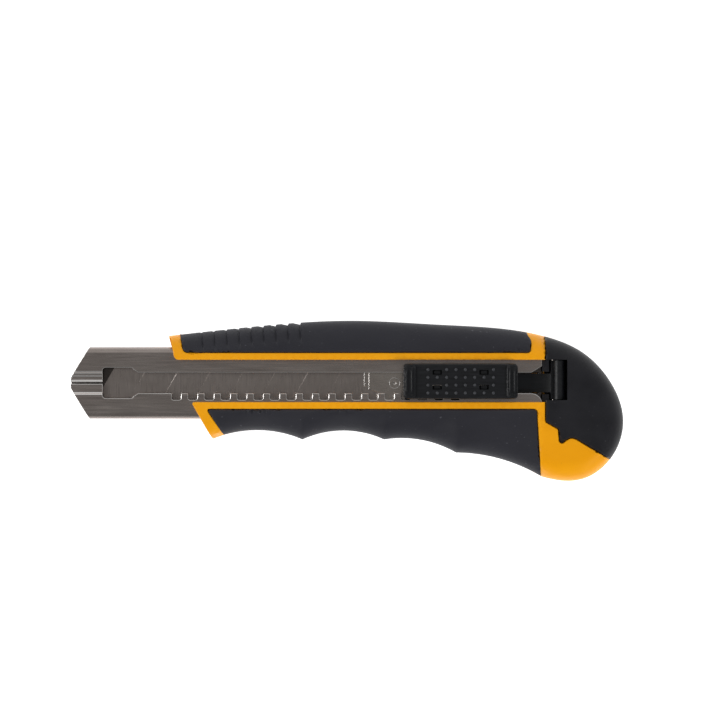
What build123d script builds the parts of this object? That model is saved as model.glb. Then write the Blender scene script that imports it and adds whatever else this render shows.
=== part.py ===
"""Heavy-duty snap-off knife for an 18 mm segmented blade, lying on its back.

X runs along the knife from the blade's tip to the end cap, Y from the cutting edge to the spine,
and Z from the flat back of the handle to the slider.  The origin is the middle of the underside.
"""
from build123d import *
import math
import os

os.makedirs("parts", exist_ok=True)

# ---- the blade, which sets everything that holds it ----
blade_length = 100.0
blade_height = 18.0
blade_thickness = 0.5
segment_pitch = 10.0
segment_angle = 60.0            # score lines lean forward from the spine
score_count = 7
score_width = 0.3
score_depth = 0.12
edge_grind = 1.6                # width of the ground bevel along the cutting edge
edge_land = 0.06                # thickness left at the very edge
tail_hole_inset = 6.5           # from the tail end to the carrier hole
tail_hole_r = 1.7

# ---- the folded steel channel ----
sheet = 0.8
channel_side_gap = 1.15         # each side of the blade
channel_depth = 4.2
channel_fold_r = 1.9
channel_end_gap = 0.9           # channel ends this far short of the cap line
nose_shoulder = 5.8             # how far the nose's corners are cut back
nose_flat = 3.2                 # height of the blunt tip of the nose
slot_height = 6.3
window_height = 9.3
window_length = 9.5
window_corner_r = 1.0
window_taper = 1.3              # the window narrows to the slot over this length
lip_end_length = 3.2            # the lips' rear ends are cut back over this length
nose_slit = 0.5
nose_lip_length = 9.9           # closed lips ahead of the window
lip_press = 0.5                 # how far the closed lips are pressed down
lip_press_height = 6.9
press_slope = 0.5               # width of the slope beside the pressed lips
lip_groove_height = 1.9         # shallow groove along the upper lip of the nose
lip_groove_depth = 0.15
notch_pitch = 5.0
notch_width = 2.8
notch_depth = 2.0
nose_to_notches = 32.4          # plain lip between the nose and the first notch

# ---- the handle ----
handle_depth = 16.0             # thickness of the handle, over the grips
nose_exposed = 30.0             # steel ahead of the shell at the spine
cap_length = 24.0               # end cap behind the cap line
spine_rise = 10.0               # crown of the spine above the blade's back
spine_front_rise = 5.4
spine_rear_rise = 5.25
belly_drop = 5.5                # shallowest point of a finger groove below the cutting edge
cusp_drop = 8.3                 # ridge between two finger grooves
heel_drop = 20.95               # lowest point of the heel
finger_widths = (24.0, 24.9, 22.0)
edge_round = 5.0                # radius that rounds the handle's long edges
grip_wall = 2.0                 # rubber over the shell
rail_width = 2.1                # shell left showing between the slider's opening and the rubber
rail_set_down = 0.6             # rails lie this far below the rubber
opening_height = 12.9           # opening for the slider in the shell's face
opening_offset = 0.65           # its middle above the blade's middle
first_groove = 16.8             # first finger groove behind the shell's front
front_lean = (2.0, 5.0, 7.0)    # shell's front edge leans back, from the spine down
toe_length = 13.4               # lower corner of the shell's front behind its top
floor_wall = 1.0                # shell between the rubber on the back and the hollow
store_height = 4.0              # hollow for spare blades under the channel
store_side_gap = 0.4            # hollow beside the spare blades
store_inset = 10.5              # hollow starts this far behind the shell's front
spare_gap = 0.2                 # hollow ahead of the spare blades
heel_inset = 0.9                # belly ends this far ahead of the cap line
rib_count = 9                   # thumb ribs on the spine
rib_start = 10.2                # first rib behind the shell's front
rib_pitch = 3.75
rib_depth = 0.5
rib_run = 1.9                   # slope ahead of each rib's step
channel_fit = 0.1               # all round the channel in the shell
spare_count = 2
spare_play = 0.05               # under each spare blade

# ---- the slider ----
tip_inset = 5.4                 # blade's tip inside the nose when drawn in
tail_cover = 3.9                # blade's tail reaches this far under the button
rear_clearance = 8.5            # between the button, fully back, and the cap line
notches_behind = 2              # notches behind the lock tooth
button_length = 34.8
button_height = 10.7
button_offset = 0.55            # its middle above the blade's middle
clip_reach = (7.1, 2.25)        # hooks and their windows from their own middle
clip_offset = 0.45              # that middle above the button's
tooth_inset = 5.9               # lock tooth behind the button's front
button_rise = 4.2               # button's sides above its rim
button_wall = 1.0
button_press = 1.0
dot_columns = 8
dot_rows = 4
dot_pitch_x = 2.84
dot_pitch_y = 2.35
dot_r = 0.55
carrier_lead = 11.9             # carrier plate ahead of the button
carrier_sheet = 0.7
running_gap = 0.2               # slider against the lips
blade_float = 0.15              # blade above the channel's back
plate_gap = 0.1                 # carrier plate above the blade
spring_sheet = 0.4

# ---- the end cap and its latch ----
cap_fit = 0.15
latch_length = 4.2
hook_length = 1.4               # latch hook that drops into the channel's back
hook_inset = 2.7                # hook ahead of the channel's rear end
latch_height = 11.8
latch_ridge_r = 1.8
latch_pin_r = 0.6
spigot_length = 3.5
spigot_wall = 1.2
sill_length = 1.2               # cap ahead of the latch's recess
recess_length = 5.4
recess_reach = (5.2, 7.1)       # recess below and above the blade's middle
latch_pin_inset = 1.3           # pin behind the recess's front
latch_pin_rise = 0.6            # pin above the channel's middle

# ---- positions worked out from the sizes ----
blade_to_cap = blade_length - tail_cover + button_length + rear_clearance
handle_length = tip_inset + blade_to_cap - nose_exposed     # shell's front edge to the cap line
overall_length = nose_exposed + handle_length + cap_length
overall_height = spine_rise + blade_height + heel_drop
nose_x = -overall_length / 2
edge_y = -overall_height / 2 + heel_drop            # cutting edge
back_y = edge_y + blade_height                      # back of the blade
axis_y = edge_y + blade_height / 2
shell_front = nose_x + nose_exposed
cap_line = shell_front + handle_length
tail_end = cap_line + cap_length

rail_top_z = handle_depth - rail_set_down
channel_top = rail_top_z - 2.4
channel_back = channel_top - channel_depth
lip_under = channel_top - sheet
channel_height = blade_height + 2 * channel_side_gap + 2 * sheet
blade_z = channel_back + sheet + blade_float
carrier_z = blade_z + blade_thickness + plate_gap
base_z = carrier_z + carrier_sheet
slot_low = axis_y - slot_height / 2
slot_high = axis_y + slot_height / 2
opening_low = axis_y - opening_height / 2 + opening_offset
opening_high = opening_low + opening_height
window_rear = nose_x + nose_lip_length + window_length
blade_tip = nose_x + tip_inset
blade_tail = blade_tip + blade_length
button_x = blade_tail - tail_cover
button_end = button_x + button_length
tooth_x = button_x + tooth_inset
notches_out = math.floor((tooth_x - nose_x - nose_to_notches) / notch_pitch + 0.001)
notch_x = [tooth_x + notch_pitch * i for i in range(-notches_out, notches_behind + 1)]
channel_rear = cap_line - channel_end_gap
channel_length = channel_rear - nose_x
store_z = grip_wall + floor_wall
store_height_y = blade_height + 2 * store_side_gap
store_front = shell_front + store_inset
base_rear = button_end - 0.6
hook_x = channel_rear - hook_inset
tongue_front = base_rear + 0.7
grip_low_line = opening_low - rail_width
grip_high_line = opening_high + rail_width
belly_x = [shell_front + first_groove]
for width in finger_widths:
    belly_x.append(belly_x[-1] + width)
heel_front = cap_line - heel_inset


def slope(x, start, end):
    """Height on the straight line from start to end at x."""
    return start[1] + (end[1] - start[1]) * (x - start[0]) / (end[0] - start[0])


# ---- the handle's outer form ----
def spine_points(inset):
    """Points that the spine's curve passes through, from the front of the shell to the cap line."""
    return [(shell_front + inset, back_y + spine_front_rise - inset),
            (shell_front + 0.19 * handle_length, back_y + 0.78 * spine_rise - inset),
            (shell_front + 0.49 * handle_length, back_y + spine_rise - inset),
            (shell_front + 0.72 * handle_length, back_y + 0.88 * spine_rise - inset),
            (cap_line, back_y + spine_rear_rise - inset)]


def handle_form(inset):
    """The whole handle with its cap, moved inwards by inset on every side, with its long edges rounded."""
    low_z = inset
    depth = handle_depth - 2 * inset
    round_r = edge_round - inset / 2
    heel = (heel_front, edge_y - heel_drop + 1.25 + inset)
    with BuildPart() as form:
        with BuildSketch(Plane.XY.offset(low_z)):
            with BuildLine():
                rim = Spline(
                    *spine_points(inset),
                    (cap_line + 0.46 * cap_length, back_y + 0.7 - inset),
                    (cap_line + 0.8 * cap_length - inset, axis_y + 1.7),
                    (tail_end - inset, axis_y - 12.0),
                    (tail_end - 4.1 - inset, edge_y - 0.69 * heel_drop + inset),
                    (cap_line + 0.5 * cap_length, edge_y - heel_drop + 0.7 + inset),
                    (cap_line + 0.24 * cap_length, edge_y - heel_drop + inset),
                    heel)
                Polyline(rim @ 1, (heel_front, axis_y), (shell_front + front_lean[1], axis_y),
                         (shell_front + front_lean[0] + inset, opening_high), rim @ 0)
            make_face()
        extrude(amount=depth)
        fillet(form.edges().filter_by(lambda e: e.length > handle_length + cap_length
                                      and e.geom_type == GeomType.BSPLINE), round_r)
    with BuildPart() as belly:
        with BuildSketch(Plane.XY.offset(low_z)):
            with BuildLine():
                start = (belly_x[0], edge_y - belly_drop - 1.4 + inset)
                drops = (cusp_drop, cusp_drop, cusp_drop + 4.0)
                tops = (belly_drop, belly_drop + 0.1, cusp_drop)
                for x, drop, top, width in zip(belly_x[1:], drops, tops, finger_widths):
                    end = (x, edge_y - drop + inset)
                    middle = (x - 0.52 * width, edge_y - top + inset)
                    ThreePointArc(start, middle, end)
                    start = end
                last = ((start[0] + heel_front) / 2, edge_y - cusp_drop - 5.8 + inset)
                ThreePointArc(start, last, heel)
                Polyline(heel, (heel_front, axis_y), (shell_front + front_lean[1], axis_y),
                         (shell_front + front_lean[2] + inset, opening_low),
                         (shell_front + toe_length + inset, edge_y - belly_drop - 2.6 + inset),
                         (belly_x[0], edge_y - belly_drop - 1.4 + inset))
            make_face()
        extrude(amount=depth)
        fillet(belly.edges().filter_by(GeomType.CIRCLE).filter_by(lambda e: e.length > 15), round_r)
    with BuildPart() as whole:
        add(form.part)
        add(belly.part)
    return whole.part


outer_form = handle_form(0)
core_form = handle_form(grip_wall)

# ---- the cap line, the grips' places and the shell ----
def cap_seam(gap):
    """Line between shell and cap from above the spine to past the heel, moved into the cap by gap."""
    start = (cap_line + 9.2, edge_y - 8.0 + gap)
    end = (tail_end - 4.1, edge_y - 0.69 * heel_drop + gap)
    past = (tail_end + 6, slope(tail_end + 6, start, end))
    return [(cap_line + gap, overall_height), (cap_line + gap, edge_y - 2.8 + gap / 2),
            (cap_line + 3.9 + gap, edge_y - 5.0 + gap / 2)], [start, past]


with BuildPart() as cap_space:
    with BuildSketch():
        with BuildLine():
            upper, lower = cap_seam(0)
            corner = (cap_line + 4.1, edge_y - 8.5)
            hump = (cap_line + 7.8, edge_y - 7.6)
            Polyline(*upper, corner)
            ThreePointArc(corner, (cap_line + 5.0, edge_y - 9.3), (cap_line + 6.0, edge_y - 8.4))
            Polyline((cap_line + 6.0, edge_y - 8.4), hump, *lower, (tail_end + 6, overall_height), upper[0])
        make_face()
    extrude(amount=handle_depth)

with BuildPart() as upper_grip_space:
    with BuildSketch():
        with BuildLine():
            Polyline((shell_front + 3.4, overall_height), (shell_front + 3.4, grip_high_line + 5.8),
                     (shell_front + 4.1, grip_high_line + 2.6), (shell_front + 4.9, grip_high_line + 0.7),
                     (shell_front + 5.9, grip_high_line), (cap_line - 6.0, grip_high_line),
                     (cap_line - 4.9, grip_high_line + 0.8), (cap_line - 4.6, grip_high_line + 2.0),
                     (cap_line - 5.2, grip_high_line + 4.7), (cap_line - 6.5, grip_high_line + 6.4),
                     (cap_line - 6.5, overall_height), (shell_front + 3.4, overall_height))
        make_face()
    extrude(amount=handle_depth)
    add(core_form, mode=Mode.SUBTRACT)

with BuildPart() as lower_grip_space:
    with BuildSketch():
        with BuildLine():
            Polyline((shell_front + 11.6, grip_low_line), (shell_front + 16.6, edge_y - belly_drop - 1.4),
                     (shell_front + 16.6, -overall_height), (cap_line - 1.1, -overall_height),
                     (cap_line - 1.1, edge_y - 16.0), (cap_line - 2.4, grip_low_line - 1.0),
                     (cap_line - 3.4, grip_low_line), (shell_front + 11.6, grip_low_line))
        make_face()
    extrude(amount=handle_depth)
    add(core_form, mode=Mode.SUBTRACT)

# The yellow shell: one moulding that holds the channel, with a hollow for spare blades behind it.
channel_mid = (channel_back + channel_top) / 2
with BuildPart() as handle_shell:
    add(outer_form)
    add(cap_space.part, mode=Mode.SUBTRACT)
    add(upper_grip_space.part, mode=Mode.SUBTRACT)
    add(lower_grip_space.part, mode=Mode.SUBTRACT)
    with BuildSketch(Plane.XY.offset(rail_top_z)):
        Rectangle(2 * overall_length, 2 * overall_height)
    extrude(amount=handle_depth, mode=Mode.SUBTRACT)
    with BuildSketch(Plane.YZ.offset(shell_front)):
        with Locations((axis_y, channel_mid)):
            RectangleRounded(channel_height + 2 * channel_fit, channel_depth + 2 * channel_fit,
                             channel_fold_r + channel_fit)
        with Locations(((opening_low + opening_high) / 2, rail_top_z)):
            Rectangle(opening_height, 2 * (rail_top_z - lip_under))
    extrude(amount=handle_length, mode=Mode.SUBTRACT)
    with BuildSketch(Plane.YZ.offset(store_front)):
        with Locations((axis_y, store_z + store_height / 2)):
            Rectangle(store_height_y, store_height)
    extrude(amount=handle_length, mode=Mode.SUBTRACT)
handle_shell.part.label = "handle_shell"
export_step(handle_shell.part, "parts/handle_shell.step")

# Two rubber grips wrap the spine and the belly from the front face round to the back.
with BuildPart() as upper_grip:
    add(outer_form)
    add(upper_grip_space.part, mode=Mode.INTERSECT)
    with BuildLine(mode=Mode.PRIVATE) as spine:
        Spline(*spine_points(0))
    for index in range(rib_count):
        crown = spine.edge() @ ((rib_start + rib_pitch * index) / handle_length)
        with BuildSketch():
            with BuildLine():
                Polyline(crown + (0, 2), crown - (0, rib_depth), crown + (-rib_run, 0), crown + (-rib_run, 2),
                         crown + (0, 2))
            make_face()
        extrude(amount=handle_depth, mode=Mode.SUBTRACT)
upper_grip.part.label = "upper_grip"
export_step(upper_grip.part, "parts/upper_grip.step")

with BuildPart() as lower_grip:
    add(outer_form)
    add(lower_grip_space.part, mode=Mode.INTERSECT)
lower_grip.part.label = "lower_grip"
export_step(lower_grip.part, "parts/lower_grip.step")

# The channel: thin steel folded to a flat tube, open along the face for the slider.
window_front = nose_x + nose_lip_length
with BuildPart() as blade_channel:
    with BuildSketch(Plane.YZ.offset(nose_x)):
        with Locations((axis_y, channel_mid)):
            RectangleRounded(channel_height, channel_depth, channel_fold_r)
            RectangleRounded(channel_height - 2 * sheet, channel_depth - 2 * sheet, channel_fold_r - sheet,
                             mode=Mode.SUBTRACT)
    extrude(amount=channel_length)
    for level, press_mode in ((channel_top, Mode.SUBTRACT), (lip_under, Mode.ADD)):
        with BuildSketch(Plane.YZ.offset(nose_x)):
            with BuildLine():
                outer = lip_press_height / 2
                inner = outer - press_slope
                Polyline((axis_y - outer, level), (axis_y - inner, level - lip_press),
                         (axis_y + inner, level - lip_press), (axis_y + outer, level),
                         (axis_y - outer, level))
            make_face()
        extrude(amount=nose_lip_length, mode=press_mode)
    with BuildSketch(Plane.YZ.offset(nose_x)):
        with Locations((axis_y + nose_slit + lip_groove_height / 2, channel_top - lip_press)):
            Trapezoid(lip_groove_height, 2 * lip_groove_depth, 135)
    extrude(amount=nose_lip_length, mode=Mode.SUBTRACT)
    with BuildSketch(Plane.XY.offset(lip_under - lip_press)) as openings:
        with Locations(((nose_x + channel_rear) / 2, axis_y)):
            Rectangle(channel_length, nose_slit)
        with Locations(((window_front + window_rear) / 2, axis_y)):
            RectangleRounded(window_length, window_height, window_corner_r)
        with BuildLine():
            Polyline((window_rear - window_corner_r, axis_y - window_height / 2),
                     (window_rear + window_taper, slot_low), (window_rear + window_taper, slot_high),
                     (window_rear - window_corner_r, axis_y + window_height / 2),
                     (window_rear - window_corner_r, axis_y - window_height / 2))
        make_face()
        with BuildLine():
            ThreePointArc((channel_rear - lip_end_length, slot_low), (channel_rear - 0.9, slot_low - 1.0),
                          (channel_rear, slot_low - 2.6))
            Polyline((channel_rear, slot_low - 2.6), (channel_rear, slot_high + 2.0),
                     (channel_rear - lip_end_length, slot_high), (window_rear, slot_high),
                     (window_rear, slot_low), (channel_rear - lip_end_length, slot_low))
        make_face()
    extrude(amount=channel_depth, mode=Mode.SUBTRACT)
    with BuildSketch(Plane.XY.offset(lip_under - lip_press)):
        with Locations(*[(x, slot_low) for x in notch_x]):
            RectangleRounded(notch_width, 2 * notch_depth, 0.6)
    extrude(amount=channel_depth, mode=Mode.SUBTRACT)
    with BuildSketch():
        for side in (-1, 1):
            with BuildLine():
                Polyline((nose_x, axis_y + side * nose_flat / 2),
                         (nose_x + nose_shoulder, axis_y + side * channel_height / 2),
                         (nose_x + nose_shoulder, axis_y + side * channel_height),
                         (nose_x - 1, axis_y + side * channel_height),
                         (nose_x - 1, axis_y + side * nose_flat / 2), (nose_x, axis_y + side * nose_flat / 2))
            make_face()
    extrude(amount=handle_depth, mode=Mode.SUBTRACT)
    with BuildSketch(Plane.XY.offset(channel_back)):
        with Locations((hook_x + hook_length / 2, axis_y)):
            Rectangle(hook_length + 0.6, slot_height)
    extrude(amount=sheet, mode=Mode.SUBTRACT)
blade_channel.part.label = "blade_channel"
export_step(blade_channel.part, "parts/blade_channel.step")


# ---- blades ----
def segmented_blade(tip_x, low_z):
    """A segmented blade lying flat with its cutting edge towards -Y."""
    lean = 1 / math.tan(math.radians(segment_angle))
    middle_z = low_z + blade_thickness / 2
    score_length = 1.5 * blade_height
    with BuildPart() as blade:
        with BuildSketch(Plane.YZ.offset(tip_x)):
            with BuildLine():
                Polyline((edge_y, middle_z - edge_land / 2), (edge_y + edge_grind, low_z), (back_y, low_z),
                         (back_y, low_z + blade_thickness), (edge_y + edge_grind, low_z + blade_thickness),
                         (edge_y, middle_z + edge_land / 2), (edge_y, middle_z - edge_land / 2))
            make_face()
        extrude(amount=blade_length)
        with BuildSketch(Plane.XY.offset(low_z)):
            with BuildLine():
                Polyline((tip_x, edge_y), (tip_x + blade_height * lean, back_y), (tip_x - 1, back_y),
                         (tip_x - 1, edge_y), (tip_x, edge_y))
            make_face()
        extrude(amount=blade_thickness, mode=Mode.SUBTRACT)
        with BuildSketch(Plane.XY.offset(low_z + blade_thickness - score_depth)):
            for index in range(1, score_count + 1):
                middle_x = tip_x + segment_pitch * index + blade_height * lean / 2
                with Locations((middle_x, axis_y)):
                    Rectangle(score_length, score_width, rotation=segment_angle)
        extrude(amount=blade_thickness, mode=Mode.SUBTRACT)
        with BuildSketch(Plane.XY.offset(low_z)):
            with Locations((tip_x + blade_length - tail_hole_inset, axis_y)):
                Circle(tail_hole_r)
        extrude(amount=blade_thickness, mode=Mode.SUBTRACT)
    return blade.part


snap_blade = segmented_blade(blade_tip, blade_z)
snap_blade.label = "snap_blade"
export_step(snap_blade, "parts/snap_blade.step")

for index in range(spare_count):
    spare_z = store_z + spare_play + index * (blade_thickness + spare_play)
    spare = segmented_blade(store_front + spare_gap, spare_z)
    spare.label = f"spare_blade_{index + 1}"
    export_step(spare, f"parts/spare_blade_{index + 1}.step")

# ---- the slider: steel carrier and pin, moulded base, spring and thumb button ----
hole_x = blade_tail - tail_hole_inset
button_mid = (button_x + button_end) / 2
button_y = axis_y + button_offset
carrier_front = button_x - carrier_lead
carrier_rear = button_end - 5.9
carrier_half = blade_height / 2 - 0.8
pin_r = tail_hole_r - 0.1
stake_r = 0.5                   # punch mark that spreads the pin in its plate
stake_depth = 0.25
tooth_width = notch_width - 0.6
rim_z = channel_top + button_press + 0.15
plate_top = rim_z + button_rise - 0.8
plate_low = plate_top - 1.2
pad_z = channel_top + running_gap
pad_top = pad_z + 0.8

with BuildPart() as blade_carrier:
    with BuildSketch(Plane.XY.offset(carrier_z)):
        with BuildLine():
            Polyline((carrier_front, axis_y - 1.0), (carrier_front + 1.5, axis_y - 1.9),
                     (carrier_front + 4.9, axis_y - 3.1), (carrier_front + 7.0, axis_y - carrier_half),
                     (carrier_rear, axis_y - carrier_half), (carrier_rear, axis_y + carrier_half),
                     (carrier_front + 4.0, axis_y + carrier_half), (carrier_front, axis_y + 4.8),
                     (carrier_front, axis_y - 1.0))
        make_face()
        with Locations((hole_x, axis_y)):
            Circle(pin_r, mode=Mode.SUBTRACT)
    extrude(amount=carrier_sheet)
    with BuildSketch(Plane.XY.offset(carrier_z + carrier_sheet / 2)):
        with Locations((carrier_front, axis_y)):
            Rectangle(3.0, 2 * blade_height)
    extrude(amount=carrier_sheet, mode=Mode.SUBTRACT)
blade_carrier.part.label = "blade_carrier"
export_step(blade_carrier.part, "parts/blade_carrier.step")

with BuildPart() as carrier_pin:
    with BuildSketch(Plane.XY.offset(blade_z)):
        with Locations((hole_x, axis_y)):
            Circle(pin_r)
    extrude(amount=base_z - blade_z)
    with BuildSketch(Plane.XY.offset(base_z - stake_depth)):
        with Locations((hole_x, axis_y)):
            Circle(stake_r)
    extrude(amount=stake_depth, mode=Mode.SUBTRACT)
carrier_pin.part.label = "carrier_pin"
export_step(carrier_pin.part, "parts/carrier_pin.step")

hook_places = [(button_mid + side_x * clip_reach[0], button_y + clip_offset + side_y * clip_reach[1])
               for side_x in (-1, 1) for side_y in (-1, 1)]
base_front = button_x + 0.6
neck_height = slot_height - 2 * running_gap
flange_height = slot_height + 6.0
pad_length = button_length - 2 * button_wall - 2 * running_gap
with BuildPart() as slider_base:
    with BuildSketch(Plane.XY.offset(base_z)):
        with Locations(((base_front + base_rear) / 2, axis_y)):
            RectangleRounded(base_rear - base_front, flange_height, 1.0)
    extrude(amount=lip_under - running_gap - base_z)
    with BuildSketch(Plane.XY.offset(base_z)):
        with Locations((button_mid, axis_y)):
            RectangleRounded(pad_length, neck_height, 1.0)
    extrude(amount=pad_top - base_z)
    with BuildSketch(Plane.XY.offset(pad_z)):
        with Locations((button_mid, button_y)):
            RectangleRounded(pad_length, button_height - 2 * button_wall - 1.0, 1.0)
    extrude(amount=pad_top - pad_z)
    with BuildSketch(Plane.XY.offset(pad_top)):
        with Locations(*hook_places):
            Rectangle(2.0, 0.7)
    extrude(amount=plate_top - 0.15 - pad_top)
    with BuildSketch(Plane.XY.offset(plate_low + 0.7)):
        with Locations(*hook_places):
            Rectangle(2.0, 1.1)
    extrude(amount=0.3)
    with BuildSketch(Plane.XY.offset(base_z)):
        with Locations((tooth_x, slot_low)):
            Rectangle(tooth_width + 1.0, 2 * notch_depth + 1.0)
    extrude(amount=plate_low - base_z, mode=Mode.SUBTRACT)
slider_base.part.label = "slider_base"
export_step(slider_base.part, "parts/slider_base.step")

# The lock spring is held on the base at its rear, bows up to the button and ends in the lock tooth.
spring_rear = button_end - 5.0
spring_half = 1.4
bow_top = plate_low - 0.02
with BuildPart() as lock_spring:
    with BuildSketch(Plane.XZ.offset(-button_y)):
        with BuildLine():
            Polyline((spring_rear, pad_top), (spring_rear, pad_top + spring_sheet),
                     (spring_rear - 4.0, pad_top + spring_sheet), (button_mid - 3, bow_top),
                     (tooth_x - tooth_width / 2, bow_top),
                     (tooth_x - tooth_width / 2, bow_top - spring_sheet),
                     (button_mid - 3, bow_top - spring_sheet), (spring_rear - 4.0, pad_top),
                     (spring_rear, pad_top))
        make_face()
    extrude(amount=spring_half, both=True)
    arm_low = slot_low + 0.15
    with BuildSketch(Plane.XY.offset(bow_top - spring_sheet)):
        with Locations((tooth_x, (arm_low + button_y) / 2)):
            Rectangle(tooth_width, button_y - arm_low)
    extrude(amount=spring_sheet)
    with BuildSketch(Plane.XY.offset(lip_under + 0.05)):
        with Locations((tooth_x, arm_low + spring_sheet / 2)):
            Rectangle(tooth_width, spring_sheet)
    extrude(amount=bow_top - lip_under - 0.05)
    with BuildSketch(Plane.XY.offset(lip_under + 0.05)):
        with Locations((tooth_x, arm_low + spring_sheet - notch_depth / 2)):
            Rectangle(tooth_width, notch_depth)
    extrude(amount=sheet)
lock_spring.part.label = "lock_spring"
export_step(lock_spring.part, "parts/lock_spring.step")

with BuildPart() as thumb_button:
    with BuildSketch(Plane.XY.offset(rim_z)):
        with Locations((button_mid, button_y)):
            RectangleRounded(button_length, button_height, 1.6)
    extrude(amount=plate_top - rim_z)
    for bar_x, bar_length in ((button_x + 1.9, 3.8), (button_end - 1.75, 3.5)):
        with BuildSketch(Plane.XY.offset(rim_z)):
            with Locations((bar_x, button_y)):
                RectangleRounded(bar_length, button_height, 1.2)
        extrude(amount=button_rise)
    for ridge_x in (button_x + 1.2, button_x + 2.7, button_end - 1.8):
        with BuildSketch(Plane.XY.offset(rim_z + button_rise)):
            with Locations((ridge_x, button_y)):
                SlotOverall(button_height - 2.0, 0.9, rotation=90)
        extrude(amount=0.45)
    with BuildSketch(Plane.XY.offset(rim_z)):
        with Locations((button_mid, button_y)):
            RectangleRounded(button_length - 2 * button_wall, button_height - 2 * button_wall, 0.8)
    extrude(amount=plate_low - rim_z, mode=Mode.SUBTRACT)
    with BuildSketch(Plane.XY.offset(plate_low)):
        with Locations(*hook_places):
            Rectangle(2.5, 0.95)
    extrude(amount=2.0, mode=Mode.SUBTRACT)
    with BuildSketch(Plane.XY.offset(plate_low + 0.65)):
        with Locations(*hook_places):
            Rectangle(2.5, 1.4)
    extrude(amount=2.0, mode=Mode.SUBTRACT)
    with BuildSketch(Plane.XY.offset(plate_top)):
        for column in range(dot_columns):
            for row in range(dot_rows):
                dot_x = button_mid + (column - (dot_columns - 1) / 2) * dot_pitch_x
                dot_y = button_y + (row - (dot_rows - 1) / 2) * dot_pitch_y
                if all(abs(dot_x - x) > 2.0 or abs(dot_y - y) > 1.5 for x, y in hook_places):
                    with Locations((dot_x, dot_y)):
                        Circle(dot_r)
    extrude(amount=0.35)
thumb_button.part.label = "thumb_button"
export_step(thumb_button.part, "parts/thumb_button.step")

# ---- the end cap and its latch ----
recess_front = cap_line + sill_length
recess_z = channel_back - 1.2
recess_y = (axis_y - recess_reach[0], axis_y + recess_reach[1])
recess_mid = sum(recess_y) / 2
latch_pin_x = recess_front + latch_pin_inset
latch_pin_z = channel_mid + latch_pin_rise
with BuildPart() as end_cap:
    add(outer_form)
    with BuildSketch():
        with BuildLine():
            upper, lower = cap_seam(cap_fit)
            Polyline(*upper, (cap_line + 4.1 + cap_fit, edge_y - 7.4), (cap_line + 7.8, edge_y - 7.4), *lower,
                     (tail_end + 6, overall_height), upper[0])
        make_face()
    extrude(amount=handle_depth, mode=Mode.INTERSECT)
    with BuildSketch(Plane.YZ.offset(cap_line)):
        with Locations((axis_y, store_z + store_height / 2)):
            Rectangle(store_height_y - 2 * spigot_wall, store_height - spigot_wall)
    extrude(amount=cap_length - 14.0, mode=Mode.SUBTRACT)
    with BuildSketch(Plane.YZ.offset(cap_line - spigot_length)):
        with Locations((axis_y, store_z + store_height / 2)):
            Rectangle(store_height_y - 2 * cap_fit, store_height - 2 * cap_fit)
            Rectangle(store_height_y - 2 * spigot_wall, store_height - 2 * spigot_wall, mode=Mode.SUBTRACT)
    extrude(amount=spigot_length + 1.5)
    with BuildSketch(Plane.XY.offset(recess_z)):
        with Locations((recess_front + recess_length / 2, recess_mid)):
            Rectangle(recess_length, recess_y[1] - recess_y[0])
    extrude(amount=handle_depth, mode=Mode.SUBTRACT)
    with BuildSketch(Plane.YZ.offset(channel_rear + cap_fit)):
        with Locations((axis_y, channel_mid)):
            RectangleRounded(channel_height - 2 * cap_fit, channel_depth - 2 * cap_fit, channel_fold_r)
    extrude(amount=recess_front - channel_rear - cap_fit)
    with BuildSketch(Plane.YZ.offset(channel_rear)):
        with Locations((axis_y, channel_mid)):
            Rectangle(slot_height + 0.6, channel_depth + 1.6)
    extrude(amount=recess_front - channel_rear + 0.5, mode=Mode.SUBTRACT)
    with BuildSketch(Plane.XY.offset(channel_top)):
        with Locations((recess_front, recess_mid)):
            Rectangle(2 * (recess_front - channel_rear), recess_y[1] - recess_y[0])
    extrude(amount=handle_depth, mode=Mode.SUBTRACT)
    with BuildSketch(Plane.XZ.offset(-recess_mid)):
        with Locations((latch_pin_x, latch_pin_z)):
            Circle(latch_pin_r)
    extrude(amount=latch_height / 2 + 2.0, both=True, mode=Mode.SUBTRACT)
end_cap.part.label = "end_cap"
export_step(end_cap.part, "parts/end_cap.step")

with BuildPart() as latch_pin:
    with BuildSketch(Plane.XZ.offset(-recess_mid)):
        with Locations((latch_pin_x, latch_pin_z)):
            Circle(latch_pin_r)
    extrude(amount=latch_height / 2 + 2.0, both=True)
latch_pin.part.label = "latch_pin"
export_step(latch_pin.part, "parts/latch_pin.step")

# The latch is a rocker: pressing its ridge lifts the hook out of the hole in the channel's back.
rocker_front = latch_pin_x - 0.7
rocker_rear = rocker_front + latch_length
rocker_low = channel_mid - 0.6
ridge_x = rocker_rear - latch_ridge_r - 0.1
with BuildPart() as cap_latch:
    with BuildSketch(Plane.XZ.offset(-recess_mid)):
        with BuildLine():
            Polyline((rocker_front, rocker_low), (rocker_rear, rocker_low), (rocker_rear, channel_top - 0.4),
                     (rocker_front, channel_top - 0.4), (rocker_front, rocker_low))
        make_face()
        with Locations((ridge_x, channel_top + 0.4)):
            Circle(latch_ridge_r)
    extrude(amount=latch_height / 2, both=True)
    with BuildSketch(Plane.XZ.offset(-axis_y)):
        with BuildLine():
            Polyline((latch_pin_x, channel_mid + 0.9), (latch_pin_x, rocker_low),
                     (hook_x + hook_length, blade_z), (hook_x + hook_length, channel_back + 0.1),
                     (hook_x, channel_back + 0.3), (hook_x, blade_z), (tongue_front, blade_z),
                     (tongue_front, base_z - 0.2), (channel_rear, base_z - 0.2),
                     (latch_pin_x, channel_mid + 0.9))
        make_face()
    extrude(amount=slot_height / 2 - 0.3, both=True)
    with BuildSketch(Plane.XZ.offset(-recess_mid)):
        with Locations((latch_pin_x, latch_pin_z)):
            Circle(latch_pin_r + 0.05)
    extrude(amount=latch_height, both=True, mode=Mode.SUBTRACT)
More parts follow.
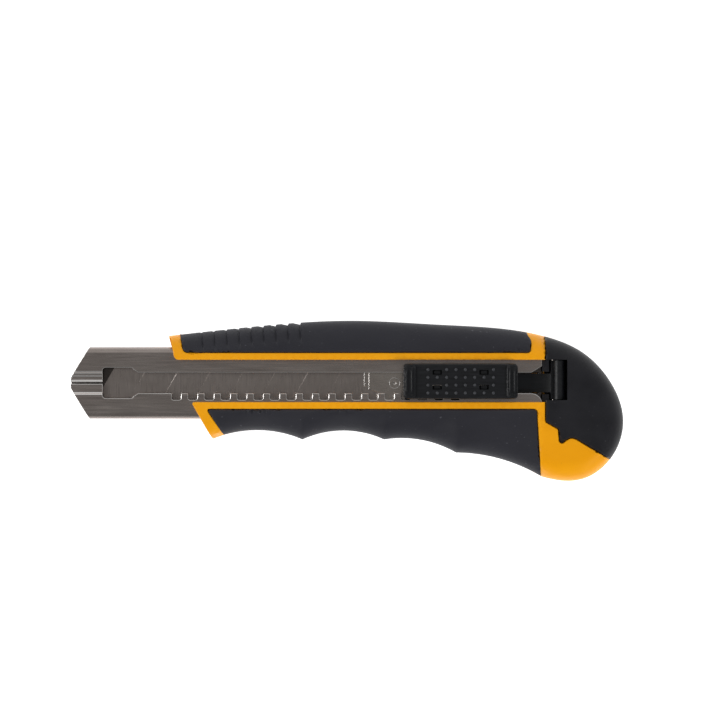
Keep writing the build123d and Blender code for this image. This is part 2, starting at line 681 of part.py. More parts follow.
cap_latch.part.label = "cap_latch"
export_step(cap_latch.part, "parts/cap_latch.step")
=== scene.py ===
# %% [markdown]
# # A heavy-duty snap-off knife
# The knife lies on its back on a pale table and is seen from straight above.  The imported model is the
# fixed frame: it gives the place and the size of every piece, and each piece here moves with its body.

# %% Load the frame
import math

import bmesh
import bpy
import numpy as np
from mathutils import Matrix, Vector
from mathutils.geometry import delaunay_2d_cdt


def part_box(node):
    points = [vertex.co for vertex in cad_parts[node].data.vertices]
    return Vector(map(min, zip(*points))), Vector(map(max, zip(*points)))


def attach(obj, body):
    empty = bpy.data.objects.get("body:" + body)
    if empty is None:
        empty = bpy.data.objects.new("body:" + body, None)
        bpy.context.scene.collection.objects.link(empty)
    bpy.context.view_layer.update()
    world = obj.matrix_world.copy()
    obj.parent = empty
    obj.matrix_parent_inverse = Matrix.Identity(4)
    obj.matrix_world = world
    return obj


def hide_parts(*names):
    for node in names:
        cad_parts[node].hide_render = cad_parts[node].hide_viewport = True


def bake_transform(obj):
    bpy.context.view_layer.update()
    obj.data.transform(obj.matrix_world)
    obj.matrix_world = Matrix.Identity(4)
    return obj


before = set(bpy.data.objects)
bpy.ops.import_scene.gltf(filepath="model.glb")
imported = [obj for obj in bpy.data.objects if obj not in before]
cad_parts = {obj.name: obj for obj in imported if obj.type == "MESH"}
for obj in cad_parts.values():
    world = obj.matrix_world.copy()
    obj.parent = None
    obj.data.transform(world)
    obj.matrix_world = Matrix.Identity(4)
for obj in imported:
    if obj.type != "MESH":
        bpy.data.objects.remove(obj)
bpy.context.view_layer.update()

# %% [markdown]
# The outlines below are worked out in millimetres, because that is how such a knife is measured.
# One millimetre in metres turns them into Blender's unit.  The driving places come from the frame.

# %% Places taken from the frame
MM = 0.001


def box_mm(node):
    """Lowest and highest corner of a node in millimetres."""
    low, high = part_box(node)
    return np.array(low) / MM, np.array(high) / MM


shell_low, shell_high = box_mm("handle_shell")
_, cap_high = box_mm("end_cap")
blade_low, blade_high = box_mm("snap_blade")
channel_low, channel_high = box_mm("blade_channel")
_, grip_high = box_mm("upper_grip")
button_low, button_high = box_mm("thumb_button")

cap_length = 24.0
shell_front = shell_low[0]
tail_end = cap_high[0]
cap_line = tail_end - cap_length
handle_length = cap_line - shell_front
edge_y = blade_low[1]
back_y = blade_high[1]
axis_y = (edge_y + back_y) / 2
heel_drop = edge_y - shell_low[1] - 0.05      # the curve dips this much between its points
spine_rise = grip_high[1] - back_y
grip_top = grip_high[2]
rail_top = shell_high[2]
channel_back = channel_low[2]
channel_top = channel_high[2]
print("shell from", shell_front, "to", cap_line, "blade edge at", edge_y, "heel drop", heel_drop)

# %% [markdown]
# ## Tools for outlines
# Every moulded piece of the knife is a slab whose outline shows from above and whose rim is rounded.
# An outline is a few points joined by a smooth curve or an arc, as a draughtsman would draw it.  The
# slab's height then follows from how far a point lies from the rim, so one rule rounds every shape.

# %% Curves in the plane
def smooth_curve(points, step=0.7):
    """A natural cubic spline through the points, given back as points about one step apart."""
    points = np.array(points, float)
    knots = np.concatenate(([0], np.cumsum(np.linalg.norm(np.diff(points, axis=0), axis=1))))
    count = len(points)
    gaps = np.diff(knots)
    matrix = np.eye(count)
    right = np.zeros((count, 2))
    for i in range(1, count - 1):
        matrix[i, i - 1:i + 2] = gaps[i - 1], 2 * (gaps[i - 1] + gaps[i]), gaps[i]
        right[i] = 6 * ((points[i + 1] - points[i]) / gaps[i] - (points[i] - points[i - 1]) / gaps[i - 1])
    bend = np.linalg.solve(matrix, right)
    out = []
    for i, gap in enumerate(gaps):
        pieces = max(2, int(round(gap / step)))
        for t in np.arange(pieces) / pieces:
            a, b = 1 - t, t
            out.append(a * points[i] + b * points[i + 1]
                       + gap ** 2 / 6 * ((a ** 3 - a) * bend[i] + (b ** 3 - b) * bend[i + 1]))
    out.append(points[-1])
    return np.array(out)


def arc(start, middle, end, step=0.7):
    """The circular arc from start through middle to end."""
    a, b, c = (complex(*p) for p in (start, middle, end))
    w = (c - a) / (b - a)
    centre = (b - a) * (w - abs(w) ** 2) / (2j * w.imag) + a
    from_angle = np.angle(a - centre)
    turn = np.angle((c - centre) / (a - centre))
    if (np.angle((b - centre) / (a - centre)) > 0) != (turn > 0):
        turn -= math.copysign(2 * math.pi, turn)
    count = max(3, int(round(abs(turn) * abs(a - centre) / step)))
    angles = from_angle + turn * np.arange(count + 1) / count
    ring = centre + abs(a - centre) * np.exp(1j * angles)
    return np.stack([ring.real, ring.imag], axis=1)


def straight(*points, step=1.4):
    """Straight runs through the points, divided into steps."""
    out = [np.array(points[0], float)]
    for a, b in zip(points, points[1:]):
        a, b = np.array(a, float), np.array(b, float)
        pieces = max(1, int(round(np.linalg.norm(b - a) / step)))
        out += [a + (b - a) * (i + 1) / pieces for i in range(pieces)]
    return np.array(out)


def chain(*curves):
    """Curves joined end to end, with the points they share kept once."""
    joined = [curves[0]]
    for curve in curves[1:]:
        joined.append(curve[1:] if np.allclose(curve[0], joined[-1][-1], atol=1e-3) else curve)
    return np.concatenate(joined)


# %% Distances and a test for inside
def distance_to(points, line):
    """Distance of every point to a polyline."""
    a, b = line[:-1], line[1:]
    along = b - a
    length2 = np.maximum((along ** 2).sum(1), 1e-12)
    best = np.full(len(points), np.inf)
    for start in range(0, len(points), 2000):
        p = points[start:start + 2000, None, :]
        t = np.clip(((p - a) * along).sum(2) / length2, 0, 1)
        near = a + t[..., None] * along
        best[start:start + 2000] = np.sqrt(((p - near) ** 2).sum(2)).min(1)
    return best


def inside(points, loop):
    """Which points lie inside a closed outline."""
    x, y = points[:, 0], points[:, 1]
    hit = np.zeros(len(points), bool)
    for (x0, y0), (x1, y1) in zip(loop, np.roll(loop, -1, axis=0)):
        if y0 != y1:
            crosses = ((y0 > y) != (y1 > y)) & (x < (x1 - x0) * (y - y0) / (y1 - y0) + x0)
            hit ^= crosses
    return hit


# %% [markdown]
# ## The slab rule
# A flat triangle mesh is spread inside the outline, with rows of points close to each rounded line.
# The upper and lower skins are lifted to their heights and a wall joins them.  A rounding is a line, its
# radius in the plane and its radius in height, so the rim can be full and the seams only broken edges.

# %% Slab maker
ROUND_STEPS = 7


def drop_near(points, roundings):
    """How far the skin falls at each point because of the rounded lines near it."""
    total = np.zeros(len(points))
    for line, plan, height in roundings:
        near = np.clip(1 - distance_to(points, line) / plan, 0, 1)
        total += (height * (1 - np.sqrt(np.maximum(0, 1 - near ** 2)))) ** 2
    return np.sqrt(total)


def fill_points(loop, roundings, spacing):
    """Points inside the outline: rows beside each rounded line and a staggered grid between."""
    rows = []
    for line, plan, _ in roundings:
        ahead = np.gradient(line, axis=0)
        ahead /= np.maximum(np.linalg.norm(ahead, axis=1)[:, None], 1e-9)
        side = np.stack([-ahead[:, 1], ahead[:, 0]], axis=1)
        for k in range(1, ROUND_STEPS + 1):
            away = plan * (1 - math.cos(math.pi / 2 * k / ROUND_STEPS))
            if away < 0.04:
                continue
            for sign in (-1, 1):
                row = line + sign * side * away
                keep = distance_to(row, line) > away * 0.985
                rows.append(row[keep])
    low, high = loop.min(0), loop.max(0)
    xs = np.arange(low[0], high[0], spacing)
    ys = np.arange(low[1], high[1], spacing * 0.87)
    grid = np.array([(x + (spacing / 2 if j % 2 else 0), y) for j, y in enumerate(ys) for x in xs])
    clear = np.full(len(grid), True)
    for line, plan, _ in roundings:
        clear &= distance_to(grid, line) > plan * 1.02
    rows.append(grid[clear])
    points = np.concatenate(rows)
    points = points[inside(points, loop)]
    return points[distance_to(points, np.vstack([loop, loop[:1]])) > 0.035]


def thin_out(points, gap):
    """Drops points that fall closer than gap to one already kept."""
    cells, kept = {}, []
    for p in points:
        key = (int(math.floor(p[0] / gap)), int(math.floor(p[1] / gap)))
        near = (q for dx in (-1, 0, 1) for dy in (-1, 0, 1)
                for q in cells.get((key[0] + dx, key[1] + dy), ()))
        if all((p[0] - q[0]) ** 2 + (p[1] - q[1]) ** 2 >= gap * gap for q in near):
            cells.setdefault(key, []).append(p)
            kept.append(p)
    return np.array(kept)


def slab(name, loop, low_z, high_z, roundings, spacing=2.5, relief=None, back_roundings=None):
    """A closed piece with the given outline.  relief adds to the upper skin's fall at each point."""
    loop = np.array([p for p, q in zip(loop, np.roll(loop, 1, axis=0)) if np.linalg.norm(p - q) > 1e-3])
    extra = thin_out(fill_points(loop, roundings, spacing), 0.09)
    points = np.vstack([loop, extra])
    count = len(loop)
    edges = [(i, (i + 1) % count) for i in range(count)]
    flat, _, triangles, *_ = delaunay_2d_cdt([Vector(p) for p in points], edges, [], 0, 1e-5)
    flat = np.array([tuple(p) for p in flat])
    triangles = np.array([tuple(t) for t in triangles if len(t) == 3])
    triangles = triangles[inside(flat[triangles].mean(1), loop)]
    a, b, c = (flat[triangles[:, k]] for k in range(3))
    turned = (b[:, 0] - a[:, 0]) * (c[:, 1] - a[:, 1]) - (b[:, 1] - a[:, 1]) * (c[:, 0] - a[:, 0]) < 0
    triangles[turned] = triangles[turned][:, ::-1]
    fall = drop_near(flat, roundings)
    rise = drop_near(flat, roundings if back_roundings is None else back_roundings)
    if relief is not None:
        fall = fall + relief(flat)
    total = len(flat)
    top = np.column_stack([flat, high_z - fall])
    bottom = np.column_stack([flat, low_z + rise])
    faces = [tuple(t) for t in triangles] + [tuple(t[::-1] + total) for t in triangles]
    sides = {}
    for t in triangles:
        for i, j in ((t[0], t[1]), (t[1], t[2]), (t[2], t[0])):
            if (j, i) in sides:
                del sides[(j, i)]
            else:
                sides[(i, j)] = True
    faces += [(i, i + total, j + total, j) for i, j in sides]
    mesh = bpy.data.meshes.new(name)
    mesh.from_pydata((np.vstack([top, bottom]) * MM).tolist(), [], [tuple(int(v) for v in f) for f in faces])
    mesh.validate()
    piece = bpy.data.objects.new(name, mesh)
    bpy.context.scene.collection.objects.link(piece)
    return piece


# %% [markdown]
# Where a moulding has a pocket, a tunnel or a cut line, the plain tool is the same as in a workshop: make
# the cutter as its own closed shape and take it away.  Joining works the same way the other round.

# %% Cutting and joining
def prism(name, loop, low_z, high_z):
    """A straight-sided closed piece over an outline, for cutting."""
    mesh = bpy.data.meshes.new(name)
    count = len(loop)
    ring = [(x * MM, y * MM, z * MM) for z in (low_z, high_z) for x, y in loop]
    faces = [tuple(range(count))[::-1], tuple(range(count, 2 * count))]
    faces += [(i, (i + 1) % count, (i + 1) % count + count, i + count) for i in range(count)]
    mesh.from_pydata(ring, [], faces)
    piece = bpy.data.objects.new(name, mesh)
    bpy.context.scene.collection.objects.link(piece)
    bm = bmesh.new()
    bm.from_mesh(mesh)
    bmesh.ops.recalc_face_normals(bm, faces=bm.faces)
    bm.to_mesh(mesh)
    bm.free()
    return piece


def block(name, x_range, y_range, z_range):
    """A straight-sided box between two limits on each axis."""
    (x0, x1), (y0, y1) = x_range, y_range
    return prism(name, [(x0, y0), (x1, y0), (x1, y1), (x0, y1)], *z_range)


def settle(piece):
    """Turns a piece with its modifiers into a plain mesh, and removes the modifiers."""
    graph = bpy.context.evaluated_depsgraph_get()
    mesh = bpy.data.meshes.new_from_object(piece.evaluated_get(graph))
    piece.modifiers.clear()
    old = piece.data
    piece.data = mesh
    bpy.data.meshes.remove(old)
    return piece


def combine(piece, other, how):
    """Adds or takes away another closed shape, which is then gone."""
    step = piece.modifiers.new(how.lower(), "BOOLEAN")
    step.operation = how
    step.object = other
    step.solver = "EXACT"
    settle(piece)
    bpy.data.objects.remove(other)
    return piece


def smooth_by_angle(piece, degrees=32, level_flats=False):
    """Smooth shading, crisp where the surface turns by more than the angle, with flat faces left level."""
    piece.data.shade_smooth()
    piece.data.set_sharp_from_angle(angle=math.radians(degrees))
    if level_flats:
        step = piece.modifiers.new("level_flats", "WEIGHTED_NORMAL")
        step.keep_sharp = True
        step.weight = 100
        settle(piece)


# %% [markdown]
# Geometry Nodes lay out what repeats.  One tree makes a grid of copies of the mesh it is given, for the
# grip dots and the score lines.  The other follows the spine, for the thumb ribs.  Both end by making the
# copies real and giving them their finish.

# %% Rows of copies
def group_node(tree, kind, inputs=None, **settings):
    """Adds one Geometry Nodes node in the same way as add_node."""
    made = tree.nodes.new(kind)
    for key, value in settings.items():
        setattr(made, key, value)
    for key, value in (inputs or {}).items():
        if isinstance(value, bpy.types.NodeSocket):
            tree.links.new(value, made.inputs[key])
        else:
            made.inputs[key].default_value = value
    return made


def new_tree(name, sockets):
    """A node group that takes geometry and the named sockets, with its input and output nodes."""
    tree = bpy.data.node_groups.new(name, "GeometryNodeTree")
    tree.interface.new_socket("Geometry", in_out="INPUT", socket_type="NodeSocketGeometry")
    for socket, kind in sockets.items():
        tree.interface.new_socket(socket, in_out="INPUT", socket_type="NodeSocket" + kind)
    tree.interface.new_socket("Geometry", in_out="OUTPUT", socket_type="NodeSocketGeometry")
    return tree, tree.nodes.new("NodeGroupInput").outputs, tree.nodes.new("NodeGroupOutput").inputs


def finish_tree(tree, instances, material, end):
    """The last nodes of every tree: real copies that carry their finish."""
    real = group_node(tree, "GeometryNodeRealizeInstances", {"Geometry": instances})
    done = group_node(tree, "GeometryNodeSetMaterial", {"Geometry": real.outputs[0], "Material": material})
    tree.links.new(done.outputs[0], end["Geometry"])


def grid_tree():
    """Copies on a grid of Columns by Rows, spaced by Pitch, about the place of the given mesh."""
    tree, given, end = new_tree("grid_of_copies", {"Columns": "Int", "Rows": "Int", "Pitch": "Vector",
                                                   "Finish": "Material"})
    spread = []
    for axis, count in (("X", "Columns"), ("Y", "Rows")):
        pitch = group_node(tree, "ShaderNodeSeparateXYZ", {"Vector": given["Pitch"]}).outputs[axis]
        gaps = group_node(tree, "ShaderNodeMath", {0: given[count], 1: 1.0}, operation="SUBTRACT")
        spread.append(group_node(tree, "ShaderNodeMath", {0: gaps.outputs[0], 1: pitch},
                                 operation="MULTIPLY").outputs[0])
    grid = group_node(tree, "GeometryNodeMeshGrid", {"Size X": spread[0], "Size Y": spread[1],
                                                     "Vertices X": given["Columns"],
                                                     "Vertices Y": given["Rows"]})
    copies = group_node(tree, "GeometryNodeInstanceOnPoints", {"Points": grid.outputs["Mesh"],
                                                               "Instance": given["Geometry"]})
    finish_tree(tree, copies.outputs[0], given["Finish"], end)
    return tree


def spine_tree():
    """Copies along a curve from First, spaced by Pitch, sunk from Shallow outwards to the full depth."""
    tree, given, end = new_tree("copies_along_spine", {"Path": "Object", "Count": "Int", "First": "Float",
                                                       "Pitch": "Float", "Shallow": "Float",
                                                       "Finish": "Material"})
    index = group_node(tree, "GeometryNodeInputIndex").outputs[0]
    steps = group_node(tree, "ShaderNodeMath", {0: index, 1: given["Pitch"], 2: given["First"]},
                       operation="MULTIPLY_ADD").outputs[0]
    path = group_node(tree, "GeometryNodeObjectInfo", {"Object": given["Path"]})
    at = group_node(tree, "GeometryNodeSampleCurve", {"Curves": path.outputs["Geometry"], "Length": steps},
                    mode="LENGTH")
    outward = group_node(tree, "ShaderNodeVectorMath", {0: (0, 0, 1), 1: at.outputs["Tangent"]},
                         operation="CROSS_PRODUCT").outputs[0]
    last = group_node(tree, "ShaderNodeMath", {0: given["Count"], 1: 1.0}, operation="SUBTRACT").outputs[0]
    share = group_node(tree, "ShaderNodeMath", {0: index, 1: last}, operation="DIVIDE").outputs[0]
    lift = group_node(tree, "ShaderNodeMath", {0: 1.0, 1: share}, operation="SUBTRACT").outputs[0]
    lift = group_node(tree, "ShaderNodeMath", {0: lift, 1: given["Shallow"]}, operation="MULTIPLY").outputs[0]
    moved = group_node(tree, "ShaderNodeVectorMath", {0: outward, "Scale": lift},
                       operation="SCALE").outputs[0]
    place = group_node(tree, "ShaderNodeVectorMath", {0: at.outputs["Position"], 1: moved},
                       operation="ADD").outputs[0]
    points = group_node(tree, "GeometryNodePoints", {"Count": given["Count"], "Position": place})
    turn = group_node(tree, "FunctionNodeAlignRotationToVector", {"Vector": at.outputs["Tangent"]}, axis="X")
    copies = group_node(tree, "GeometryNodeInstanceOnPoints", {"Points": points.outputs[0],
                                                               "Instance": given["Geometry"],
                                                               "Rotation": turn.outputs[0]})
    finish_tree(tree, copies.outputs[0], given["Finish"], end)
    return tree


def laid_out(piece, tree, values):
    """Runs a tree on a piece with the given inputs, and keeps the result as a plain mesh."""
    step = piece.modifiers.new("layout", "NODES")
    step.node_group = tree
    for socket in tree.interface.items_tree:
        if socket.in_out == "INPUT" and socket.name in values:
            step[socket.identifier] = values[socket.name]
    settle(piece)
    print(piece.name, "laid out:", len(piece.data.polygons), "faces")
    return piece


grid_of_copies = grid_tree()
copies_along_spine = spine_tree()

# %% [markdown]
# ## Finishes
# A finish starts from the real material: its colour as the eye names it, how it bounces light, and the
# marks that its making leaves.  One small function adds a node, sets it and links it, and nothing more.

# %% Node and colour helpers
def linear(code):
    """An sRGB hex colour as the linear values that Blender mixes."""
    parts = [int(code[i:i + 2], 16) / 255 for i in (1, 3, 5)]
    return tuple(c / 12.92 if c <= 0.04045 else ((c + 0.055) / 1.055) ** 2.4 for c in parts) + (1.0,)


def add_node(tree, kind, inputs=None, **settings):
    """Adds one node.  An input that is a socket is linked, and any other value is set."""
    made = tree.nodes.new("ShaderNode" + kind)
    for key, value in settings.items():
        setattr(made, key, value)
    for key, value in (inputs or {}).items():
        if isinstance(value, bpy.types.NodeSocket):
            tree.links.new(value, made.inputs[key])
        else:
            made.inputs[key].default_value = value
    return made


def new_finish(name, roughness, metallic=0.0, ior=1.5):
    """A new material with its shader, and the Object coordinates that its patterns read."""
    finish = bpy.data.materials.new(name)
    finish.use_nodes = True
    tree = finish.node_tree
    shader = tree.nodes["Principled BSDF"]
    shader.inputs["Roughness"].default_value = roughness
    shader.inputs["Metallic"].default_value = metallic
    shader.inputs["IOR"].default_value = ior
    shader.inputs["Specular IOR Level"].default_value = 0.5 if metallic else 0.3
    place = add_node(tree, "TexCoord").outputs["Object"]
    return finish, tree, shader, place


def stretched(tree, place, across):
    """Object coordinates scaled along each axis, so that a pattern is drawn out in one direction."""
    return add_node(tree, "Mapping", {"Vector": place, "Scale": across}).outputs["Vector"]


def noise(tree, place, size_mm, detail=3.0, rough=0.55):
    """A cloud pattern whose grains are about size_mm across."""
    scale = 1 / (size_mm * MM)
    return add_node(tree, "TexNoise", {"Vector": place, "Scale": scale, "Detail": detail,
                                       "Roughness": rough}).outputs["Fac"]


def between(tree, value, low, high, from_low=0.3, from_high=0.7):
    """Spreads a pattern's middle range over low to high."""
    return add_node(tree, "MapRange", {"Value": value, "From Min": from_low, "From Max": from_high,
                                       "To Min": low, "To Max": high}).outputs["Result"]


def mixed(tree, share, first, second):
    """A colour between two, by a share."""
    return add_node(tree, "Mix", {0: share, 6: first, 7: second}, data_type="RGBA").outputs[2]


def raised(tree, height, depth_mm, under=None):
    """A bump of the given depth, on top of an earlier one."""
    inputs = {"Height": height, "Strength": 1.0, "Distance": depth_mm * MM}
    if under is not None:
        inputs["Normal"] = under
    return add_node(tree, "Bump", inputs).outputs["Normal"]


# %% [markdown]
# On the yellow shell, wear pales the rims where a hand and a table rub; on the grips and the cap the paler
# rims are a painted sheen.  Each piece stores how close every point lies to its rim lines, and its finish
# reads that number to turn paler there; the same number paints a highlight on bevelled edges and on the
# button's dot tops.

# %% Rim wear and painted sheen
def mark_rim_wear_and_sheen(piece, lines, reach):
    """Stores a number at each point: one on the given lines, zero at reach millimetres away."""
    count = len(piece.data.vertices)
    places = np.empty(count * 3)
    piece.data.vertices.foreach_get("co", places)
    flat = places.reshape(-1, 3)[:, :2] / MM
    near = np.full(count, np.inf)
    for line in lines:
        near = np.minimum(near, distance_to(flat, line))
    layer = piece.data.attributes.new("wear_and_highlight", "FLOAT", "POINT")
    layer.data.foreach_set("value", np.clip(1 - near / reach, 0, 1).astype(np.float32))


def stored_wear_and_highlight(tree):
    """The stored wear and painted highlight, as a socket."""
    return add_node(tree, "Attribute", attribute_name="wear_and_highlight").outputs["Fac"]


# %% [markdown]
# ### Yellow shell: moulded ABS
# ABS comes from a steel mould that was lightly spark-eroded, so it is satin rather than glossy.  The
# pigment is even, but flow marks make broad, faint clouds.  The rims are paler where they are handled.

# %% Yellow ABS
def yellow_abs():
    finish, tree, shader, place = new_finish("moulded_abs_yellow", 0.36, ior=1.53)
    clouds = noise(tree, stretched(tree, place, (0.5, 1.0, 1.0)), 14.0, 3.0)
    colour = mixed(tree, between(tree, clouds, 0.0, 1.0), linear("#EC9C00"), linear("#F5A602"))
    rubbed = between(tree, stored_wear_and_highlight(tree), 0.0, 0.45, 0.2, 1.0)
    colour = mixed(tree, rubbed, colour, linear("#FBB41C"))
    specks = between(tree, noise(tree, place, 0.5, 2.0), 0.0, 0.3, 0.66, 0.74)
    colour = mixed(tree, specks, colour, linear("#B87400"))
    tree.links.new(colour, shader.inputs["Base Color"])
    tree.links.new(between(tree, clouds, 0.32, 0.42), shader.inputs["Roughness"])
    grain = noise(tree, place, 0.22, 2.0)
    tree.links.new(raised(tree, grain, 0.012), shader.inputs["Normal"])
    return finish


# %% [markdown]
# ### Grips: thermoplastic rubber
# The rubber is moulded over the shell in a second shot.  Its tool is blasted, so it scatters light and
# looks charcoal, never black.  Skin and dust leave light flecks, and its rims are painted paler as a painted
# sheen.

# %% Grip rubber
def grip_rubber():
    finish, tree, shader, place = new_finish("moulded_tpr_charcoal", 0.6, ior=1.5)
    clouds = noise(tree, stretched(tree, place, (0.35, 1.0, 1.0)), 9.0, 4.0)
    colour = mixed(tree, between(tree, clouds, 0.0, 1.0), linear("#24242A"), linear("#2B2B31"))
    # Painted sheen: the rims are painted paler.
    colour = mixed(tree, between(tree, stored_wear_and_highlight(tree), 0.0, 0.35, 0.3, 1.0), colour, linear("#35353B"))
    flecks = between(tree, noise(tree, place, 0.9, 1.0), 0.0, 0.55, 0.73, 0.78)
    colour = mixed(tree, flecks, colour, linear("#57575D"))
    tree.links.new(colour, shader.inputs["Base Color"])
    tree.links.new(between(tree, clouds, 0.54, 0.68), shader.inputs["Roughness"])
    grain = noise(tree, place, 0.3, 3.0)
    broad = noise(tree, place, 2.2, 2.0)
    skin = raised(tree, grain, 0.035, raised(tree, broad, 0.05))
    tree.links.new(skin, shader.inputs["Normal"])
    return finish


# %% [markdown]
# ### End cap: polypropylene
# Polypropylene is a softer, waxier plastic than ABS.  Its mould is spark-eroded to a fine, even grain, so
# the broad round tail shows a soft sheen with tiny bright points in it.  Its rims and seam are painted paler,
# a painted sheen.

# %% Cap plastic
def cap_plastic():
    finish, tree, shader, place = new_finish("eroded_polypropylene_black", 0.5, ior=1.49)
    clouds = noise(tree, place, 8.0, 4.0)
    colour = mixed(tree, between(tree, clouds, 0.0, 1.0), linear("#16161A"), linear("#1E1E22"))
    # Painted sheen: the rims and the seam are painted paler.
    colour = mixed(tree, between(tree, stored_wear_and_highlight(tree), 0.0, 0.4, 0.2, 1.0), colour, linear("#252528"))
    flecks = between(tree, noise(tree, place, 0.7, 1.0), 0.0, 0.5, 0.73, 0.78)
    colour = mixed(tree, flecks, colour, linear("#48484C"))
    tree.links.new(colour, shader.inputs["Base Color"])
    tree.links.new(between(tree, clouds, 0.44, 0.56), shader.inputs["Roughness"])
    tree.links.new(raised(tree, noise(tree, place, 0.28, 2.0), 0.03), shader.inputs["Normal"])
    return finish


# %% [markdown]
# ### Slider and latch: black nylon
# Parts that slide are nylon, from a polished mould.  It is smoother and darker than the cap, with fine
# rub marks along the way it slides.

# %% Slider nylon
def slider_nylon():
    finish, tree, shader, place = new_finish("polished_nylon_black", 0.42, ior=1.53)
    rubs = noise(tree, stretched(tree, place, (0.12, 1.0, 1.0)), 0.5, 3.0)
    colour = mixed(tree, between(tree, rubs, 0.0, 1.0), linear("#0E0F11"), linear("#17181B"))
    # Painted highlight: bevelled edges and the tops of the grip dots are painted paler, towards a mid grey.
    colour = mixed(tree, stored_wear_and_highlight(tree), colour, linear("#3E3F43"))
    tree.links.new(colour, shader.inputs["Base Color"])
    tree.links.new(between(tree, rubs, 0.36, 0.48), shader.inputs["Roughness"])
    tree.links.new(raised(tree, rubs, 0.01), shader.inputs["Normal"])
    return finish


# %% [markdown]
# ### Steel
# One function makes the three steels, because each is the same metal with another last operation.  The
# channel is cold-rolled strip with lines along its length, the blade is ground across its height, and
# the spring and pin are tempered, which leaves a faint straw and brown tint.

# %% Steels
def steel(name, dark, light, roughness, stretch, line_mm, line_depth, line_share=0.35):
    finish, tree, shader, place = new_finish(name, roughness, metallic=1.0)
    lines = noise(tree, stretched(tree, place, stretch), line_mm, 4.0, 0.65)
    clouds = noise(tree, stretched(tree, place, (0.4, 1.0, 1.0)), 7.0, 4.0)
    colour = mixed(tree, between(tree, clouds, 0.0, 1.0), linear(dark), linear(light))
    colour = mixed(tree, between(tree, lines, 0.0, line_share), colour, linear(light))
    # Painted highlight: the faces of the broken edges are painted near white, as bright lines along the
    # edges.
    colour = mixed(tree, stored_wear_and_highlight(tree), colour, linear("#F4F1EE"))
    tree.links.new(colour, shader.inputs["Base Color"])
    tree.links.new(between(tree, lines, roughness - 0.05, roughness + 0.07), shader.inputs["Roughness"])
    tree.links.new(raised(tree, lines, line_depth), shader.inputs["Normal"])
    return finish


def channel_steel():
    """Rolled strip, darker along its folded sides, with painted shade on the faces inside the fold that look
    up.
    """
    finish = steel("rolled_strip_steel", "#A79C96", "#C0B6B0", 0.24, (0.03, 1.0, 1.0), 0.35, 0.006)
    tree = finish.node_tree
    shader = tree.nodes["Principled BSDF"]
    bright = shader.inputs["Base Color"].links[0].from_socket
    way = add_node(tree, "SeparateXYZ", {"Vector": add_node(tree, "TexCoord").outputs["Object"]}).outputs
    off_middle = add_node(tree, "Math", {0: way["Y"], 1: axis_y * MM}, operation="SUBTRACT").outputs[0]
    off_middle = add_node(tree, "Math", {0: off_middle}, operation="ABSOLUTE").outputs[0]
    half = (channel_high[1] - channel_low[1]) / 2
    side = between(tree, off_middle, 0.0, 0.85, (half - 1.3) * MM, (half - 0.25) * MM)
    colour = mixed(tree, side, bright, linear("#6E6663"))
    # Painted shade: inside the fold, the faces that look up are painted dark, as if in shadow.
    inside_shade_top = (channel_back + 1.0) * MM
    normal = add_node(tree, "NewGeometry").outputs["Normal"]
    up = add_node(tree, "SeparateXYZ", {"Vector": normal}).outputs["Z"]
    depth = between(tree, way["Z"], 0.8, 0.0, inside_shade_top, inside_shade_top + 0.1 * MM)
    inner = add_node(tree, "Math", {0: depth, 1: between(tree, up, 0.0, 1.0)},
                     operation="MULTIPLY").outputs[0]
    colour = mixed(tree, inner, colour, linear("#2E2A28"))
    tree.links.new(colour, shader.inputs["Base Color"])
    return finish


abs_yellow = yellow_abs()
rubber = grip_rubber()
cap_black = cap_plastic()
nylon = slider_nylon()
rolled_steel = channel_steel()
ground_steel = steel("ground_blade_steel", "#A89E98", "#B6ACA6", 0.3, (1.0, 0.06, 1.0), 0.3, 0.002, 0.12)
spring_steel = steel("tempered_spring_steel", "#AEA49C", "#C4BBB3", 0.25, (0.1, 1.0, 1.0), 0.3, 0.004)
finishes = (abs_yellow, rubber, cap_black, nylon, rolled_steel, ground_steel, spring_steel)
print("finishes:", [finish.name for finish in finishes])

# %% [markdown]
# ## Outline of the handle
# The spine and the tail are one smooth curve, and the belly is a row of arcs, one for each finger, that
# meet in ridges.  The same rule gives the outer skin and the core under the rubber, moved inwards.

# %% Spine, tail and belly
FINGER_WIDTHS = (24.0, 24.9, 22.0)
BELLY_DROP = 5.5
CUSP_DROP = 8.3
opening_low = axis_y - 5.8
opening_high = axis_y + 7.1
grip_low_line = opening_low - 2.1
grip_high_line = opening_high + 2.1
heel = np.array([cap_line - 0.9, edge_y - heel_drop + 1.25])
seam_end = np.array([tail_end - 4.1, edge_y - 0.69 * heel_drop])
belly_start = np.array([shell_front + 16.8, edge_y - BELLY_DROP - 1.4])


